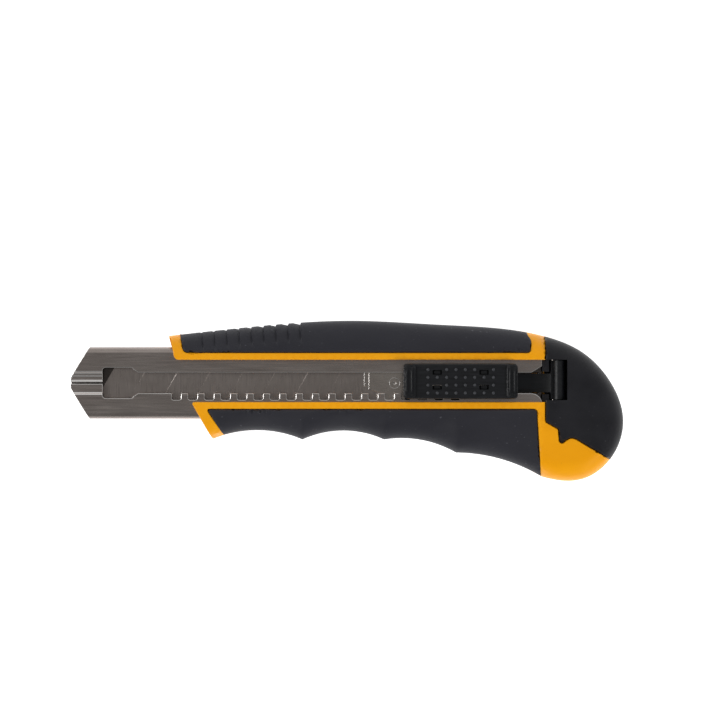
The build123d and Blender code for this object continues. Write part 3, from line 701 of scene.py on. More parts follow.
def rim_curves(inset):
    """Spine from front to cap line, tail down to the seam's end, heel, and belly from front to heel."""
    up, back = np.array([0, -inset]), np.array([-inset, 0])
    knots = [(shell_front + inset, back_y + 5.4 - inset),
             (shell_front + 0.19 * handle_length, back_y + 0.78 * spine_rise - inset),
             (shell_front + 0.49 * handle_length, back_y + spine_rise - inset),
             (shell_front + 0.72 * handle_length, back_y + 0.88 * spine_rise - inset),
             (cap_line, back_y + 5.25 - inset),
             (cap_line + 0.46 * cap_length, back_y + 0.7 - inset),
             (cap_line + 0.8 * cap_length - inset, axis_y + 1.7),
             (tail_end - inset, axis_y - 12.0),
             seam_end + back - up,
             (cap_line + 0.5 * cap_length, edge_y - heel_drop + 0.7 + inset),
             (cap_line + 0.24 * cap_length, edge_y - heel_drop + inset),
             heel - up]
    rim = smooth_curve(knots)
    at_cap = int(np.argmin(np.linalg.norm(rim - knots[4], axis=1)))
    at_seam = int(np.argmin(np.linalg.norm(rim - knots[8], axis=1)))
    start = belly_start - up
    arcs = []
    painted_dot_highlight = (BELLY_DROP, BELLY_DROP + 0.1, CUSP_DROP)
    for width, drop, top in zip(FINGER_WIDTHS, (CUSP_DROP, CUSP_DROP, CUSP_DROP + 4), painted_dot_highlight):
        end = np.array([start[0] + width, edge_y - drop + inset])
        arcs.append(arc(start, (end[0] - 0.52 * width, edge_y - top + inset), end))
        start = end
    arcs.append(arc(start, ((start[0] + heel[0]) / 2, edge_y - CUSP_DROP - 5.8 + inset), heel - up))
    return rim[:at_cap + 1], rim[at_cap:at_seam + 1], rim[at_seam:], chain(*arcs)


def stretch_of(curve, x_from, x_to):
    """The part of a curve between two places along X, with its ends exactly there."""
    x, y = curve[:, 0], curve[:, 1]
    between_x = (x > x_from + 0.02) & (x < x_to - 0.02)
    ends = [(v, np.interp(v, x, y)) for v in (x_from, x_to)]
    return np.vstack([ends[0], curve[between_x], ends[1]])


def bent(points, radius):
    """Straight runs through the points, with each inner corner rounded."""
    points = np.array(points, float)
    out = [points[0]]
    for before, corner, after in zip(points, points[1:], points[2:]):
        into, away = before - corner, after - corner
        reach = min(radius, 0.45 * np.linalg.norm(into), 0.45 * np.linalg.norm(away))
        a = corner + into / np.linalg.norm(into) * reach
        b = corner + away / np.linalg.norm(away) * reach
        out += [(1 - t) ** 2 * a + 2 * t * (1 - t) * corner + t * t * b for t in np.linspace(0, 1, 7)]
    out.append(points[-1])
    return straight(*out)


spine, tail, heel_curve, belly = rim_curves(0.0)
print("spine crown at", spine[:, 1].max(), "belly from", belly[0], "to", belly[-1])

# %% [markdown]
# The seams between the yellow shell, the two grips and the cap are straight runs with rounded corners.
# The rubber is proud of the yellow rails, so light catches its edge and leaves a dark line beside it.

# %% Seam lines
upper_front = bent([(shell_front + 3.4, np.interp(shell_front + 3.4, *spine.T)),
                    (shell_front + 3.4, grip_high_line + 5.8), (shell_front + 4.6, grip_high_line),
                    (shell_front + 8.0, grip_high_line)], 2.2)
upper_rear = bent([(cap_line - 9.0, grip_high_line), (cap_line - 4.6, grip_high_line),
                   (cap_line - 4.2, grip_high_line + 3.7), (cap_line - 5.4, grip_high_line + 5.5),
                   (cap_line - 5.5, np.interp(cap_line - 5.5, *spine.T))], 0.9)
lower_front = bent([(shell_front + 15.0, grip_low_line), (shell_front + 11.6, grip_low_line),
                    (shell_front + 16.8, belly_start[1])], 1.3)
lower_rear = bent([(cap_line - 1.3, np.interp(cap_line - 1.3, *belly.T)), (cap_line - 1.6, edge_y - 15.0),
                   (cap_line - 2.6, grip_low_line), (cap_line - 8.0, grip_low_line)], 1.0)
seam_step = [(cap_line, spine[-1][1]), (cap_line, edge_y - 2.8), (cap_line + 3.9, edge_y - 5.0),
             (cap_line + 4.1, edge_y - 8.5)]
seam_hump = [(cap_line + 6.0, edge_y - 8.4), (cap_line + 7.8, edge_y - 7.6), (cap_line + 9.2, edge_y - 8.0)]
cap_seam = chain(bent(seam_step, 0.4), arc(seam_step[-1], (cap_line + 5.0, edge_y - 9.3), seam_hump[0], 0.4),
                 bent(seam_hump, 0.8), straight(seam_hump[-1], seam_end))
upper_seam = chain(upper_front, straight(upper_front[-1], upper_rear[0]), upper_rear)
lower_seam = chain(lower_rear, straight(lower_rear[-1], lower_front[0]), lower_front)
print("seam points:", len(cap_seam), len(upper_seam), len(lower_seam))

# %% [markdown]
# ## Yellow shell
# One moulding: flanges, rails, the panel behind the channel and the heel, with a slimmer core under the
# rubber.  The core makes the shell one body, and the channel's tunnel, the slider's opening and the
# hollow for spare blades are cut out of it at the end.

# %% Shell
RIM_PLAN = 6.5
RIM_HEIGHT = 5.0
EDGE_BREAK = (0.25, 0.4)
SEAM_GROOVE = (0.28, 1.3)
front_upper = straight((shell_front + 2.0, opening_high), spine[0])
front_lower = straight((shell_front + 13.4, edge_y - BELLY_DROP - 2.6), (shell_front + 7.0, opening_low),
                       (shell_front + 5.0, axis_y), (shell_front + 2.0, opening_high))
toe = straight(belly_start, (shell_front + 13.4, edge_y - BELLY_DROP - 2.6))
frame_loop = chain(front_upper, stretch_of(spine, shell_front, shell_front + 3.4), upper_seam,
                   stretch_of(spine, cap_line - 5.5, cap_line), cap_seam, heel_curve,
                   stretch_of(belly, cap_line - 1.3, heel[0])[::-1], lower_seam, toe, front_lower)[:-1]
outer_rim = [(spine, RIM_PLAN, RIM_HEIGHT), (chain(tail, heel_curve), RIM_PLAN, RIM_HEIGHT),
             (chain(toe[::-1][:1], belly), RIM_PLAN, RIM_HEIGHT)]
opening_edges = [straight((shell_front, y), (cap_line, y)) for y in (opening_low, opening_high)]
shell_breaks = [(line, *EDGE_BREAK) for line in (upper_seam, lower_seam, front_upper, front_lower,
                                                 *opening_edges)]
shell_breaks.append((cap_seam, *SEAM_GROOVE))
yellow_shell = slab("yellow_shell", frame_loop, 0.0, rail_top, outer_rim + shell_breaks, 2.4)
print("frame of the shell:", len(yellow_shell.data.vertices), "points")

# %% Core, tunnel, opening and hollow
FIT = 0.1
GRIP_WALL = 2.0
channel_half = (channel_high[1] - channel_low[1]) / 2 + FIT


def core_slab(name, shrink):
    """The core under the rubber, made smaller by shrink for the shell and larger for the hollow of a grip."""
    inset = GRIP_WALL + shrink
    c_spine, _, _, c_belly = rim_curves(inset)
    toe_in = (shell_front + 13.4 + inset, edge_y - BELLY_DROP - 2.6 + inset)
    nose_in = straight(c_belly[0], toe_in, (shell_front + 7 + inset, opening_low),
                       (shell_front + 5 + inset, axis_y), (shell_front + 2 + inset, opening_high), c_spine[0])
    rear = straight((cap_line - 0.5, np.interp(cap_line - 0.5, *c_spine.T)),
                    (cap_line - 0.5, np.interp(cap_line - 0.5, *c_belly.T)))
    loop = chain(stretch_of(c_spine, c_spine[0][0], cap_line - 0.5), rear,
                 stretch_of(c_belly, c_belly[0][0], cap_line - 0.5)[::-1], nose_in)[:-1]
    rims = [(c_spine, 4.0, 3.2), (c_belly, 4.0, 3.2)]
    return slab(name, loop, inset, grip_top - inset, rims, 3.5)


def tunnel(name, x_range, y_range, z_range, corner=0.0):
    """A straight tunnel along X with rounded corners, for cutting."""
    (y0, y1), (z0, z1) = y_range, z_range
    turns = [(y0, z0), (y1, z0), (y1, z1), (y0, z1)]
    if corner:
        loop = []
        for (y, z), quarter in zip(turns, (180, 270, 0, 90)):
            centre = (y + corner * (1 if y == y0 else -1), z + corner * (1 if z == z0 else -1))
            loop += [(centre[0] + corner * math.cos(a), centre[1] + corner * math.sin(a))
                     for a in np.radians(np.linspace(quarter, quarter + 90, 7))]
        turns = loop
    piece = prism(name, turns, *x_range)
    for point in piece.data.vertices:
        y, z, x = point.co
        point.co = (x, y, z)
    return piece


yellow_shell = combine(yellow_shell, core_slab("core", 0.03), "UNION")
combine(yellow_shell, tunnel("channel_tunnel", (shell_front - 1, cap_line + 1),
                             (axis_y - channel_half, axis_y + channel_half),
                             (channel_back - FIT, channel_top + FIT), 2.0), "DIFFERENCE")
corner_up = bent([spine[0] + (-0.02, 3), (shell_front + 1.98, opening_high),
                  (cap_line + 2, opening_high)], 1.3)
corner_down = bent([(cap_line + 2, opening_low), (shell_front + 6.98, opening_low),
                    (shell_front + 13.38, edge_y - BELLY_DROP - 2.6), (shell_front + 15, edge_y - 12)], 1.3)
ahead = [(shell_front - 5, edge_y - 12), (shell_front - 5, spine[0][1] + 3)]
opening = np.vstack([corner_up, corner_down, ahead])
combine(yellow_shell, prism("opening", opening[::-1], channel_top - 0.8, grip_top + 1), "DIFFERENCE")
STORE_Z = (3.0, 7.0)
STORE_HALF = (back_y - edge_y) / 2 + 0.4
SPARE_GAP = 0.2
spare_low, _ = box_mm("spare_blade_1")
store_y = (axis_y - STORE_HALF, axis_y + STORE_HALF)
combine(yellow_shell, block("store", (spare_low[0] - SPARE_GAP, cap_line + 1), store_y, STORE_Z),
        "DIFFERENCE")
print("yellow shell:", len(yellow_shell.data.polygons), "faces")

# %% [markdown]
# ## Rubber grips
# Each grip is the slab between its seam and the rim, hollowed by the core.  The thumb ribs on the spine
# are cut by a row of saw teeth.

# %% Upper grip
RUBBER_EDGE = (0.55, 1.8)
upper_loop = chain(upper_seam, stretch_of(spine, shell_front + 3.4, cap_line - 5.5)[::-1])[:-1]
upper_rubber = slab("upper_rubber", upper_loop, 0.0, grip_top,
                    [(spine, RIM_PLAN, RIM_HEIGHT), (upper_seam, *RUBBER_EDGE)], 1.6)
combine(upper_rubber, core_slab("hollow", 0.0), "DIFFERENCE")

# %% [markdown]
# The thumb ribs are saw teeth: each groove deepens along the spine and ends in a step that the thumb
# pushes on.  One tooth is shaped like the rounded rim it cuts, fading out on the face, and the tree
# repeats it along the spine, deeper towards the rear.

# %% Thumb ribs
RIB_COUNT = 9
RIB_FIRST = 10.2
RIB_PITCH = 3.75
RIB_RUN = 2.3
RIB_STEP = 0.4
RIB_DEPTH = 0.65
RIB_SHALLOW = 0.42


def rib_tooth():
    """A wedge round the rim that deepens along X and ends in a steep step, with Y outwards."""
    turn = np.radians(np.linspace(0, 90, 13))
    quarter = np.column_stack([-RIM_PLAN + RIM_PLAN * np.sin(turn),
                               grip_top - RIM_HEIGHT * (1 - np.cos(turn))])
    profile = np.vstack([quarter, (quarter * (1, -1) + (0, grip_top))[::-1]])
    along = np.gradient(profile, axis=0)
    along /= np.linalg.norm(along, axis=1)[:, None]
    outward = np.column_stack([-along[:, 1], along[:, 0]])
    nearness = np.clip((profile[:, 0] + RIM_PLAN) / RIM_PLAN * 3.0, 0, 1)
    flush = np.full(len(profile), -0.06)
    cut = -0.06 + (RIB_DEPTH + 0.06) * nearness
    rings = []
    for x, depth in ((-RIB_RUN, flush), (0.0, cut), (RIB_STEP, flush)):
        rings.append([(x, *(p - n * d)) for p, n, d in zip(profile, outward, depth)])
        rings.append([(x, *(p + n * 1.2)) for p, n in zip(profile, outward)])
    count = len(profile)
    points = [p for ring in rings for p in ring]
    faces = []
    for i in range(count - 1):
        for a, b in ((0, 1), (1, 3), (3, 5), (5, 4), (4, 2), (2, 0)):
            faces.append((a * count + i, b * count + i, b * count + i + 1, a * count + i + 1))
    for end in (0, count - 1):
        faces.append([ring * count + end for ring in (0, 2, 4, 5, 3, 1)])
    mesh = bpy.data.meshes.new("rib_tooth")
    mesh.from_pydata((np.array(points) * MM).tolist(), [], faces)
    bm = bmesh.new()
    bm.from_mesh(mesh)
    bmesh.ops.recalc_face_normals(bm, faces=bm.faces)
    bm.to_mesh(mesh)
    bm.free()
    tooth = bpy.data.objects.new("rib_tooth", mesh)
    bpy.context.scene.collection.objects.link(tooth)
    return tooth


def path_object(name, line):
    """An open poly curve through the points of a line, for a tree to follow."""
    curve = bpy.data.curves.new(name, "CURVE")
    curve.dimensions = "3D"
    run = curve.splines.new("POLY")
    run.points.add(len(line) - 1)
    for point, (x, y) in zip(run.points, line):
        point.co = (x * MM, y * MM, 0.0, 1.0)
    piece = bpy.data.objects.new(name, curve)
    bpy.context.scene.collection.objects.link(piece)
    return piece


spine_path = path_object("spine_path", spine)
ribs = laid_out(rib_tooth(), copies_along_spine,
                {"Path": spine_path, "Count": RIB_COUNT, "First": RIB_FIRST * MM, "Pitch": RIB_PITCH * MM,
                 "Shallow": RIB_SHALLOW * MM, "Finish": rubber})
combine(upper_rubber, ribs, "DIFFERENCE")
bpy.data.objects.remove(spine_path)

# %% Lower grip
lower_loop = chain(lower_seam, stretch_of(belly, belly[0][0], cap_line - 1.3))[:-1]
cusps = np.cumsum((belly_start[0],) + FINGER_WIDTHS)[1:]
SCOOP_DEPTH = 1.1


def finger_scoops(flat):
    """The rubber is scooped for each finger, deepest beside the ridge in front of it, and fades inwards."""
    x, y = flat[:, 0], flat[:, 1]
    starts = np.concatenate([[belly_start[0] - 4], cusps])
    ends = np.concatenate([cusps, [cap_line + 2]])
    share = np.zeros(len(flat))
    for start, end in zip(starts, ends):
        here = (x >= start) & (x < end)
        t = (x[here] - start) / (end - start)
        share[here] = np.sin(math.pi * t ** 1.35) ** 1.0
    inward = np.clip((grip_low_line - y) / 4.5, 0, 1)
    return SCOOP_DEPTH * share * inward ** 2 * (3 - 2 * inward)


lower_rubber = slab("lower_rubber", lower_loop, 0.0, grip_top,
                    [(belly, RIM_PLAN, RIM_HEIGHT), (lower_seam, *RUBBER_EDGE)], 1.3,
                    relief=finger_scoops)
combine(lower_rubber, core_slab("hollow", 0.0), "DIFFERENCE")
for grip, lines in ((upper_rubber, [spine, upper_seam]), (lower_rubber, [belly, lower_seam])):
    grip.data.materials.append(rubber)
    smooth_by_angle(grip)
    mark_rim_wear_and_sheen(grip, lines, 1.2)
    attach(grip, "handle")
    print(grip.name, len(grip.data.polygons), "faces")
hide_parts("upper_grip")
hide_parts("lower_grip")

yellow_shell.data.materials.append(abs_yellow)
smooth_by_angle(yellow_shell)
shell_rims = [spine, belly, chain(tail, heel_curve), upper_seam, lower_seam, cap_seam, *opening_edges]
mark_rim_wear_and_sheen(yellow_shell, shell_rims, 0.6)
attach(yellow_shell, "handle")
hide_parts("handle_shell")

# %% [markdown]
# ## End cap
# The cap closes the shell, so it shares the seam.  A hair of play lies between them, and both edges fall
# away steeply there, so the seam reads as a dark line.

# %% Cap body
SEAM_PLAY = 0.05
cap_face = cap_seam + (SEAM_PLAY, 0)
cap_face[:, 1] += np.where(cap_face[:, 0] > cap_line + 4.0, SEAM_PLAY, 0)
cap_face = np.vstack([[(cap_line + SEAM_PLAY, spine[-1][1] - 0.02)], cap_face[1:-1],
                      [seam_end + (0.02, SEAM_PLAY)]])
cap_loop = chain(cap_face, tail[1:-1][::-1])
end_cap = slab("end_cap_moulding", cap_loop, 0.0, grip_top,
               [(chain(spine[-3:], tail, heel_curve[:3]), RIM_PLAN, RIM_HEIGHT),
                (cap_face, *SEAM_GROOVE)], 1.8)
print("cap:", len(end_cap.data.vertices), "points")

# %% Cap pockets and spigot
CAP_FIT = 0.15
SPIGOT_WALL = 1.2
recess_x = (cap_line + 1.2, cap_line + 6.6)
recess_y = (axis_y - 5.2, axis_y + 7.1)
channel_rear = channel_high[0]
combine(end_cap, tunnel("sill", (channel_rear + 0.03, recess_x[0] + 0.1),
                        (channel_low[1] + CAP_FIT, channel_high[1] - CAP_FIT),
                        (channel_back + CAP_FIT, channel_top - CAP_FIT), 1.9), "UNION")
combine(end_cap, block("recess", recess_x, recess_y, (channel_back - 1.2, grip_top + 1)), "DIFFERENCE")
combine(end_cap, block("low_wall", (cap_line - 1, recess_x[0] + 0.1), recess_y, (channel_top, grip_top + 1)),
        "DIFFERENCE")
combine(end_cap, block("tongue_slot", (cap_line - 2, recess_x[0] + 0.5), (axis_y - 3.45, axis_y + 3.45),
                       (channel_back - 0.8, channel_top + 0.8)), "DIFFERENCE")
spigot_front = box_mm("end_cap")[0][0]
combine(end_cap, block("spigot", (spigot_front, cap_line + 2), (store_y[0] + CAP_FIT, store_y[1] - CAP_FIT),
                       (STORE_Z[0] + CAP_FIT, STORE_Z[1] - CAP_FIT)), "UNION")
combine(end_cap, block("pocket", (spigot_front - 1, cap_line + 10),
                       (store_y[0] + SPIGOT_WALL, store_y[1] - SPIGOT_WALL),
                       (STORE_Z[0] + SPIGOT_WALL / 2, STORE_Z[1] - SPIGOT_WALL / 2)), "DIFFERENCE")
end_cap.data.materials.append(cap_black)
smooth_by_angle(end_cap)
mark_rim_wear_and_sheen(end_cap, [tail, cap_face], 1.0)
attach(end_cap, "cap")
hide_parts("end_cap")
print("cap with pockets:", len(end_cap.data.polygons), "faces")

# %% [markdown]
# ## Pieces that keep their shape
# Sheet steel and small mouldings already have their right shape in the frame, but a real edge is never
# perfectly sharp.  A copy is merged, its flat faces are joined, and its edges are broken by a small bevel.

# %% Broken edges
def softened(node, name, edge_mm, steps=2, edge_angle=50, clamp=True):
    """A copy of a node with its edges broken by edge_mm."""
    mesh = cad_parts[node].data.copy()
    piece = bpy.data.objects.new(name, mesh)
    bpy.context.scene.collection.objects.link(piece)
    bm = bmesh.new()
    bm.from_mesh(mesh)
    wear_and_highlight = bm.faces.layers.float.new("wear_and_highlight")
    bmesh.ops.remove_doubles(bm, verts=bm.verts, dist=1e-6)
    bmesh.ops.dissolve_limit(bm, angle_limit=math.radians(1.0), verts=bm.verts, edges=bm.edges)
    sharp = [e for e in bm.edges if len(e.link_faces) == 2
             and e.calc_face_angle(0) > math.radians(edge_angle)]
    made = bmesh.ops.bevel(bm, geom=sharp, offset=edge_mm * MM, segments=steps, profile=0.5,
                           affect="EDGES", clamp_overlap=clamp)
    # The bevel faces are marked, so that their finish paints a highlight along each broken edge.
    for face in made["faces"]:
        face[wear_and_highlight] = 1.0
    bm.to_mesh(mesh)
    bm.free()
    mesh.materials.clear()
    return piece


def placed(piece, body, slot, finish, *nodes):
    """Gives a piece its finish and its body, and hides the nodes that it stands for.  slot is not used."""
    if not piece.data.materials:
        piece.data.materials.append(finish)
    smooth_by_angle(piece, level_flats=True)
    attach(piece, body)
    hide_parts(*nodes)
    print(piece.name, len(piece.data.polygons), "faces")


placed(softened("blade_channel", "folded_channel", 0.2, edge_angle=40, clamp=False), "handle",
       "channel_steel", rolled_steel, "blade_channel")
for node, name, edge_mm, body, slot, finish in (
        ("blade_carrier", "carrier_plate", 0.08, "slider", "spring_steel", spring_steel),
        ("carrier_pin", "staked_pin", 0.08, "slider", "spring_steel", spring_steel),
        ("cap_latch", "rocker_latch", 0.2, "latch", "black_plastic", nylon),
        ("latch_pin", "rocker_pin", 0.08, "cap", "spring_steel", spring_steel)):
    placed(softened(node, name, edge_mm), body, slot, finish, node)

# %% [markdown]
# The lock spring bends when the button goes down: its foot stays on the slider, and its bow and tooth go
# down with the button.

# %% Lock spring
lock_spring = softened("lock_spring", "bowed_lock_spring", 0.05)
lock_spring.data.materials.append(spring_steel)
smooth_by_angle(lock_spring, level_flats=True)
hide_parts("lock_spring")
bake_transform(lock_spring)
print("lock spring:", len(lock_spring.data.polygons), "faces")

# %% [markdown]
# ## Blades
# A segmented blade is ground strip steel: a plate with a ground bevel along its edge, a slanted end, and
# score lines that weaken it so that a worn segment snaps off.  The score lines are shallow V cuts, laid
# out by the grid tree, and their two flanks catch light that the flat misses.

# %% Segmented blades
BLADE_LENGTH = blade_high[0] - blade_low[0]
BLADE_HEIGHT = back_y - edge_y
BLADE_THICK = blade_high[2] - blade_low[2]
LEAN = 1 / math.tan(math.radians(60.0))
SEGMENT = 10.0
SCORES = 7
SCORE_HALF = 0.24
SCORE_DEPTH = 0.09
GRIND = 1.6
HOLE_INSET = 6.5
HOLE_RADIUS = 1.7


def score_cutter(tip_x, high_z):
    """A V-shaped bar that leans with the score lines, for the first of them."""
    lift = 0.05
    half = SCORE_HALF * (1 + lift / SCORE_DEPTH)
    section = [(-half, high_z + lift), (half, high_z + lift), (0.0, high_z - SCORE_DEPTH)]
    points = []
    for y in (edge_y - 1, back_y + 1):
        x_here = tip_x + SEGMENT + (y - edge_y) * LEAN
        points += [(x_here + x, y, z) for x, z in section]
    mesh = bpy.data.meshes.new("score")
    faces = [(0, 1, 2), (5, 4, 3), (0, 3, 4, 1), (1, 4, 5, 2), (2, 5, 3, 0)]
    mesh.from_pydata((np.array(points) * MM).tolist(), [], faces)
    bm = bmesh.new()
    bm.from_mesh(mesh)
    bmesh.ops.recalc_face_normals(bm, faces=bm.faces)
    bm.to_mesh(mesh)
    bm.free()
    cutter = bpy.data.objects.new("score", mesh)
    bpy.context.scene.collection.objects.link(cutter)
    laid_out(cutter, grid_of_copies, {"Columns": SCORES, "Rows": 1, "Pitch": (SEGMENT * MM, 0.0, 0.0),
                                      "Finish": ground_steel})
    for point in cutter.data.vertices:
        point.co.x += (SCORES - 1) / 2 * SEGMENT * MM
    return cutter


def segmented_blade(name, tip_x, low_z):
    """One blade, lying flat with its cutting edge towards -Y."""
    high_z = low_z + BLADE_THICK
    middle_z = (low_z + high_z) / 2
    plate = tunnel(name, (tip_x, tip_x + BLADE_LENGTH), (edge_y, back_y), (low_z, high_z))
    for point in plate.data.vertices:
        if point.co.y < (edge_y + 0.1) * MM:
            point.co.z = (middle_z + math.copysign(0.03, point.co.z - middle_z * MM)) * MM
    bm = bmesh.new()
    bm.from_mesh(plate.data)
    cut = bmesh.ops.bisect_plane(bm, geom=bm.verts[:] + bm.edges[:] + bm.faces[:],
                                 plane_co=Vector((tip_x, edge_y + GRIND, low_z)) * MM, plane_no=(0, 1, 0))
    for item in cut["geom_cut"]:
        if isinstance(item, bmesh.types.BMVert):
            item.co.z = (low_z if item.co.z < middle_z * MM else high_z) * MM
    bm.to_mesh(plate.data)
    bm.free()
    wedge = [(tip_x - 2, edge_y - 1), (tip_x - LEAN, edge_y - 1),
             (tip_x + (BLADE_HEIGHT + 1) * LEAN, back_y + 1), (tip_x - 2, back_y + 1)]
    combine(plate, prism("wedge", wedge, low_z - 1, high_z + 1), "DIFFERENCE")
    centre = np.array([tip_x + BLADE_LENGTH - HOLE_INSET, axis_y])
    ring = [centre + HOLE_RADIUS * np.array([math.cos(a), math.sin(a)])
            for a in np.linspace(0, 2 * math.pi, 41)[:-1]]
    combine(plate, prism("hole", ring, low_z - 1, high_z + 1), "DIFFERENCE")
    combine(plate, score_cutter(tip_x, high_z), "DIFFERENCE")
    return plate


placed(segmented_blade("fitted_blade", blade_low[0], blade_low[2]), "slider", "blade_steel", ground_steel,
       "snap_blade")
for number in (1, 2):
    spare_low, _ = box_mm(f"spare_blade_{number}")
    placed(segmented_blade(f"stored_blade_{number}", spare_low[0], spare_low[2]), "handle", "blade_steel",
           ground_steel, f"spare_blade_{number}")

# %% [markdown]
# ## Slider and thumb button
# The button is a shell that clips on four hooks of the slider.  Its face has a grid of small domes for
# the thumb, four windows where the hooks are seen, and raised bars with ridges at both ends.

# %% Slider base
slider = softened("slider_base", "slider_moulding", 0.1)
HOOK_LEVEL = button_high[2] - 2.0
for point in slider.data.vertices:
    if point.co.z > HOOK_LEVEL * MM:
        point.co.z -= 0.5 * MM
placed(slider, "slider", "black_plastic", nylon, "slider_base")

# %% Thumb button
button_middle = (button_low + button_high) / 2
RIM_Z = button_low[2]
FACE_Z = button_high[2] - 1.25
BAR_Z = button_high[2] - 0.45
WINDOW_STEP = (7.1, 2.25)
WINDOW_SHIFT = 0.45


def rounded_box(x_range, y_range, radius, turns=5):
    """A rectangle with rounded corners, as a closed outline."""
    (x0, x1), (y0, y1) = x_range, y_range
    loop = []
    for x, y, quarter in ((x0, y0, 180), (x1, y0, 270), (x1, y1, 0), (x0, y1, 90)):
        centre = np.array([x + radius * (1 if x == x0 else -1), y + radius * (1 if y == y0 else -1)])
        for a in np.radians(np.linspace(quarter, quarter + 90, turns)):
            loop.append(centre + radius * np.array([math.cos(a), math.sin(a)]))
    return straight(*loop, loop[0], step=1.2)[:-1]


def pad(name, x_range, y_range, z_range, corner, edge):
    """A low slab with rounded corners and a rounded upper edge, flat below."""
    loop = rounded_box(x_range, y_range, corner)
    return slab(name, loop, *z_range, [(np.vstack([loop, loop[:1]]), edge, edge)], 1.2, back_roundings=[])


button_x = (button_low[0], button_high[0])
button_y = (button_low[1], button_high[1])
thumb_button = pad("thumb_button_shell", button_x, button_y, (RIM_Z, FACE_Z), 1.6, 0.55)
for bar_x in ((button_x[0] + 0.05, button_x[0] + 3.8), (button_x[1] - 3.5, button_x[1] - 0.05)):
    bar = pad("bar", bar_x, (button_y[0] + 0.05, button_y[1] - 0.05), (RIM_Z + 0.2, BAR_Z), 1.2, 0.4)
    combine(thumb_button, bar, "UNION")
for ridge_x in (button_x[0] + 1.0, button_x[0] + 2.6, button_x[1] - 2.4, button_x[1] - 1.0):
    ridge = pad("ridge", (ridge_x - 0.4, ridge_x + 0.4), (button_y[0] + 1.0, button_y[1] - 1.0),
                (BAR_Z - 0.3, button_high[2]), 0.38, 0.36)
    combine(thumb_button, ridge, "UNION")
inner = rounded_box((button_x[0] + 1, button_x[1] - 1), (button_y[0] + 1, button_y[1] - 1), 0.8)
combine(thumb_button, prism("underside", inner, RIM_Z - 1, FACE_Z - 1.2), "DIFFERENCE")
windows = [(button_middle[0] + sx * WINDOW_STEP[0], button_middle[1] + WINDOW_SHIFT + sy * WINDOW_STEP[1])
           for sx in (-1, 1) for sy in (-1, 1)]
for x, y in windows:
    combine(thumb_button, block("window", (x - 1.4, x + 1.4), (y - 0.7, y + 0.7), (RIM_Z, BAR_Z + 1)),
            "DIFFERENCE")
print("button shell:", len(thumb_button.data.polygons), "faces")

# %% Grip dots
DOT_COLUMNS = 8
DOT_ROWS = 4
DOT_PITCH = (2.84, 2.35)
DOT_RADIUS = 0.52
DOT_RISE = 0.4


def dome(name, centre, radius, rise):
    """A small dome with a base that sinks into the face."""
    bm = bmesh.new()
    bmesh.ops.create_uvsphere(bm, u_segments=12, v_segments=8, radius=1.0)
    bmesh.ops.scale(bm, vec=Vector((radius, radius, rise)) * MM, verts=bm.verts)
    bmesh.ops.translate(bm, vec=Vector(centre) * MM, verts=bm.verts)
    mesh = bpy.data.meshes.new(name)
    bm.to_mesh(mesh)
    bm.free()
    piece = bpy.data.objects.new(name, mesh)
    bpy.context.scene.collection.objects.link(piece)
    return piece


dots = laid_out(dome("grip_dots", (*button_middle[:2], FACE_Z - 0.02), DOT_RADIUS, DOT_RISE), grid_of_copies,
                {"Columns": DOT_COLUMNS, "Rows": DOT_ROWS, "Finish": nylon,
                 "Pitch": (DOT_PITCH[0] * MM, DOT_PITCH[1] * MM, 0.0)})
bm = bmesh.new()
bm.from_mesh(dots.data)
in_window = []
for point in bm.verts:
    place = np.array(point.co[:2]) / MM - button_middle[:2]
    middle = button_middle[:2] + (np.floor(place / DOT_PITCH) + 0.5) * DOT_PITCH
    if any(abs(middle[0] - x) < 2.0 and abs(middle[1] - y) < 1.3 for x, y in windows):
        in_window.append(point)
bmesh.ops.delete(bm, geom=in_window, context="VERTS")
bm.to_mesh(dots.data)
bm.free()
combine(thumb_button, dots, "UNION")
# The tops of the dots are marked for a painted highlight, which the nylon finish shows as paler spots.
painted_dot_highlight = thumb_button.data.attributes.new("wear_and_highlight", "FLOAT", "POINT")
for point, wear_and_highlight in zip(thumb_button.data.vertices, painted_dot_highlight.data):
    on_dot = FACE_Z + 0.1 < point.co.z / MM < BAR_Z - 0.05
    in_grid = abs(point.co.x / MM - button_middle[0]) < DOT_COLUMNS / 2 * DOT_PITCH[0]
    wear_and_highlight.value = 0.9 if on_dot and in_grid else 0.0
placed(thumb_button, "button", "black_plastic", nylon, "thumb_button")

# %% [markdown]
# ## Table, light and camera
# The knife lies on a white table.  Steel shows what it reflects, so the sky above is a middling grey and
# the light comes from large soft boxes at the sides, which leave bright lines along the folds.

# %% Table
def table_finish():
    finish, tree, shader, place = new_finish("matte_white_board", 0.85)
    fibres = noise(tree, place, 3.0, 3.0)
    colour = mixed(tree, between(tree, fibres, 0.0, 1.0), linear("#FAFAFA"), linear("#FFFFFF"))
    tree.links.new(colour, shader.inputs["Base Color"])
    tree.links.new(raised(tree, fibres, 0.01), shader.inputs["Normal"])
    shader.inputs["Emission Color"].default_value = (1, 1, 1, 1)
    shader.inputs["Emission Strength"].default_value = 0.8
    return finish


TABLE_REACH = 3000.0
table_loop = [(-TABLE_REACH, -TABLE_REACH), (TABLE_REACH, -TABLE_REACH), (TABLE_REACH, TABLE_REACH),
              (-TABLE_REACH, TABLE_REACH)]
table = prism("table_top", table_loop, -4.0, -0.05)
table.data.materials.append(table_finish())

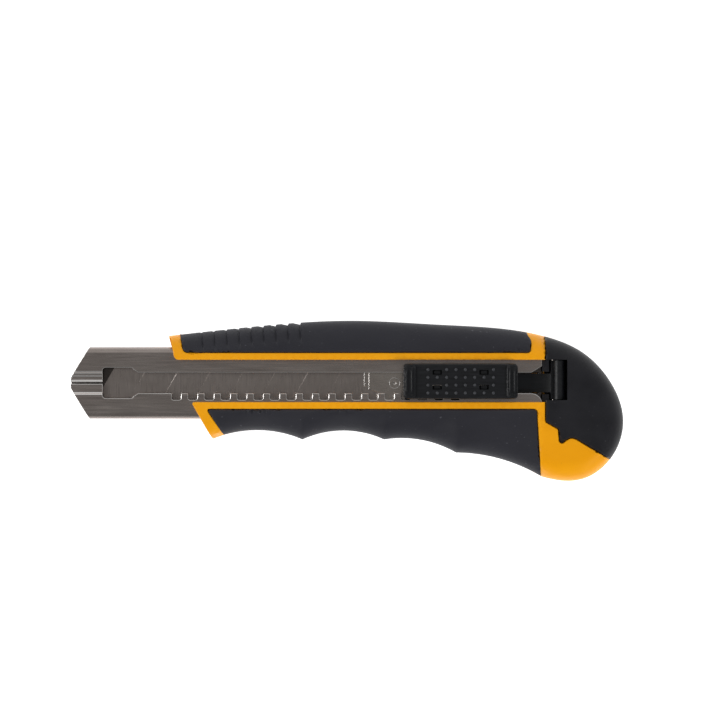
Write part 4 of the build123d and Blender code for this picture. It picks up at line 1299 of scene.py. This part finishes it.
# %% Sky and soft boxes
def studio_sky():
    """A grey sky, darkest straight overhead, paler towards the horizon and towards the window side."""
    world = bpy.data.worlds.new("studio_sky")
    world.use_nodes = True
    tree = world.node_tree
    way = add_node(tree, "SeparateXYZ", {"Vector": add_node(tree, "TexCoord").outputs["Generated"]}).outputs
    window = between(tree, way["Y"], 0.0, 0.34, 0.05, 0.45)
    horizon = between(tree, way["Z"], 0.5, 0.0, 0.0, 0.6)
    far_end = between(tree, way["X"], -0.07, 0.02, -0.3, 0.2)
    sides = add_node(tree, "Math", {0: window, 1: far_end}, operation="ADD").outputs["Value"]
    both = add_node(tree, "Math", {0: sides, 1: horizon}, operation="ADD").outputs["Value"]
    total = add_node(tree, "Math", {0: both, 1: OVERHEAD}, operation="ADD").outputs["Value"]
    tree.links.new(total, tree.nodes["Background"].inputs["Strength"])
    tree.nodes["Background"].inputs["Color"].default_value = (1.0, 1.0, 1.0, 1.0)
    return world


OVERHEAD = 0.21
bpy.context.scene.world = studio_sky()
view_middle = Vector((3.98, 12.48, 10.0))


def soft_box(name, away, size, watts, mirrored=True):
    """A soft light that faces the knife from a place in millimetres, which steel may mirror or not."""
    lamp = bpy.data.lights.new(name, "AREA")
    lamp.energy = watts
    lamp.shape = "RECTANGLE"
    lamp.size, lamp.size_y = size[0] * MM, size[1] * MM
    box = bpy.data.objects.new(name, lamp)
    box.location = Vector(away) * MM
    box.visible_glossy = mirrored
    box.rotation_euler = (-Vector(away)).to_track_quat("-Z", "Y").to_euler()
    bpy.context.scene.collection.objects.link(box)
    print(name, "at", away, "mm,", watts, "W")


soft_box("right_front", (650, -550, 700), (500, 500), 6.0, mirrored=False)
soft_box("left_end", (-900, 60, 800), (500, 700), 6.0)

# %% Camera
CAMERA_HEIGHT = 890.0
SENSOR = 36.0
FRAME_WIDTH = 220.2
lens = bpy.data.cameras.new("overhead")
lens.sensor_width = SENSOR
lens.lens = SENSOR * CAMERA_HEIGHT / FRAME_WIDTH
lens.clip_end = 10.0
camera = bpy.data.objects.new("overhead", lens)
camera.location = (view_middle + Vector((0, 0, CAMERA_HEIGHT))) * MM
bpy.context.scene.collection.objects.link(camera)
bpy.context.scene.camera = camera
bpy.context.scene.view_settings.view_transform = "Standard"
print("lens", round(lens.lens, 1), "mm")
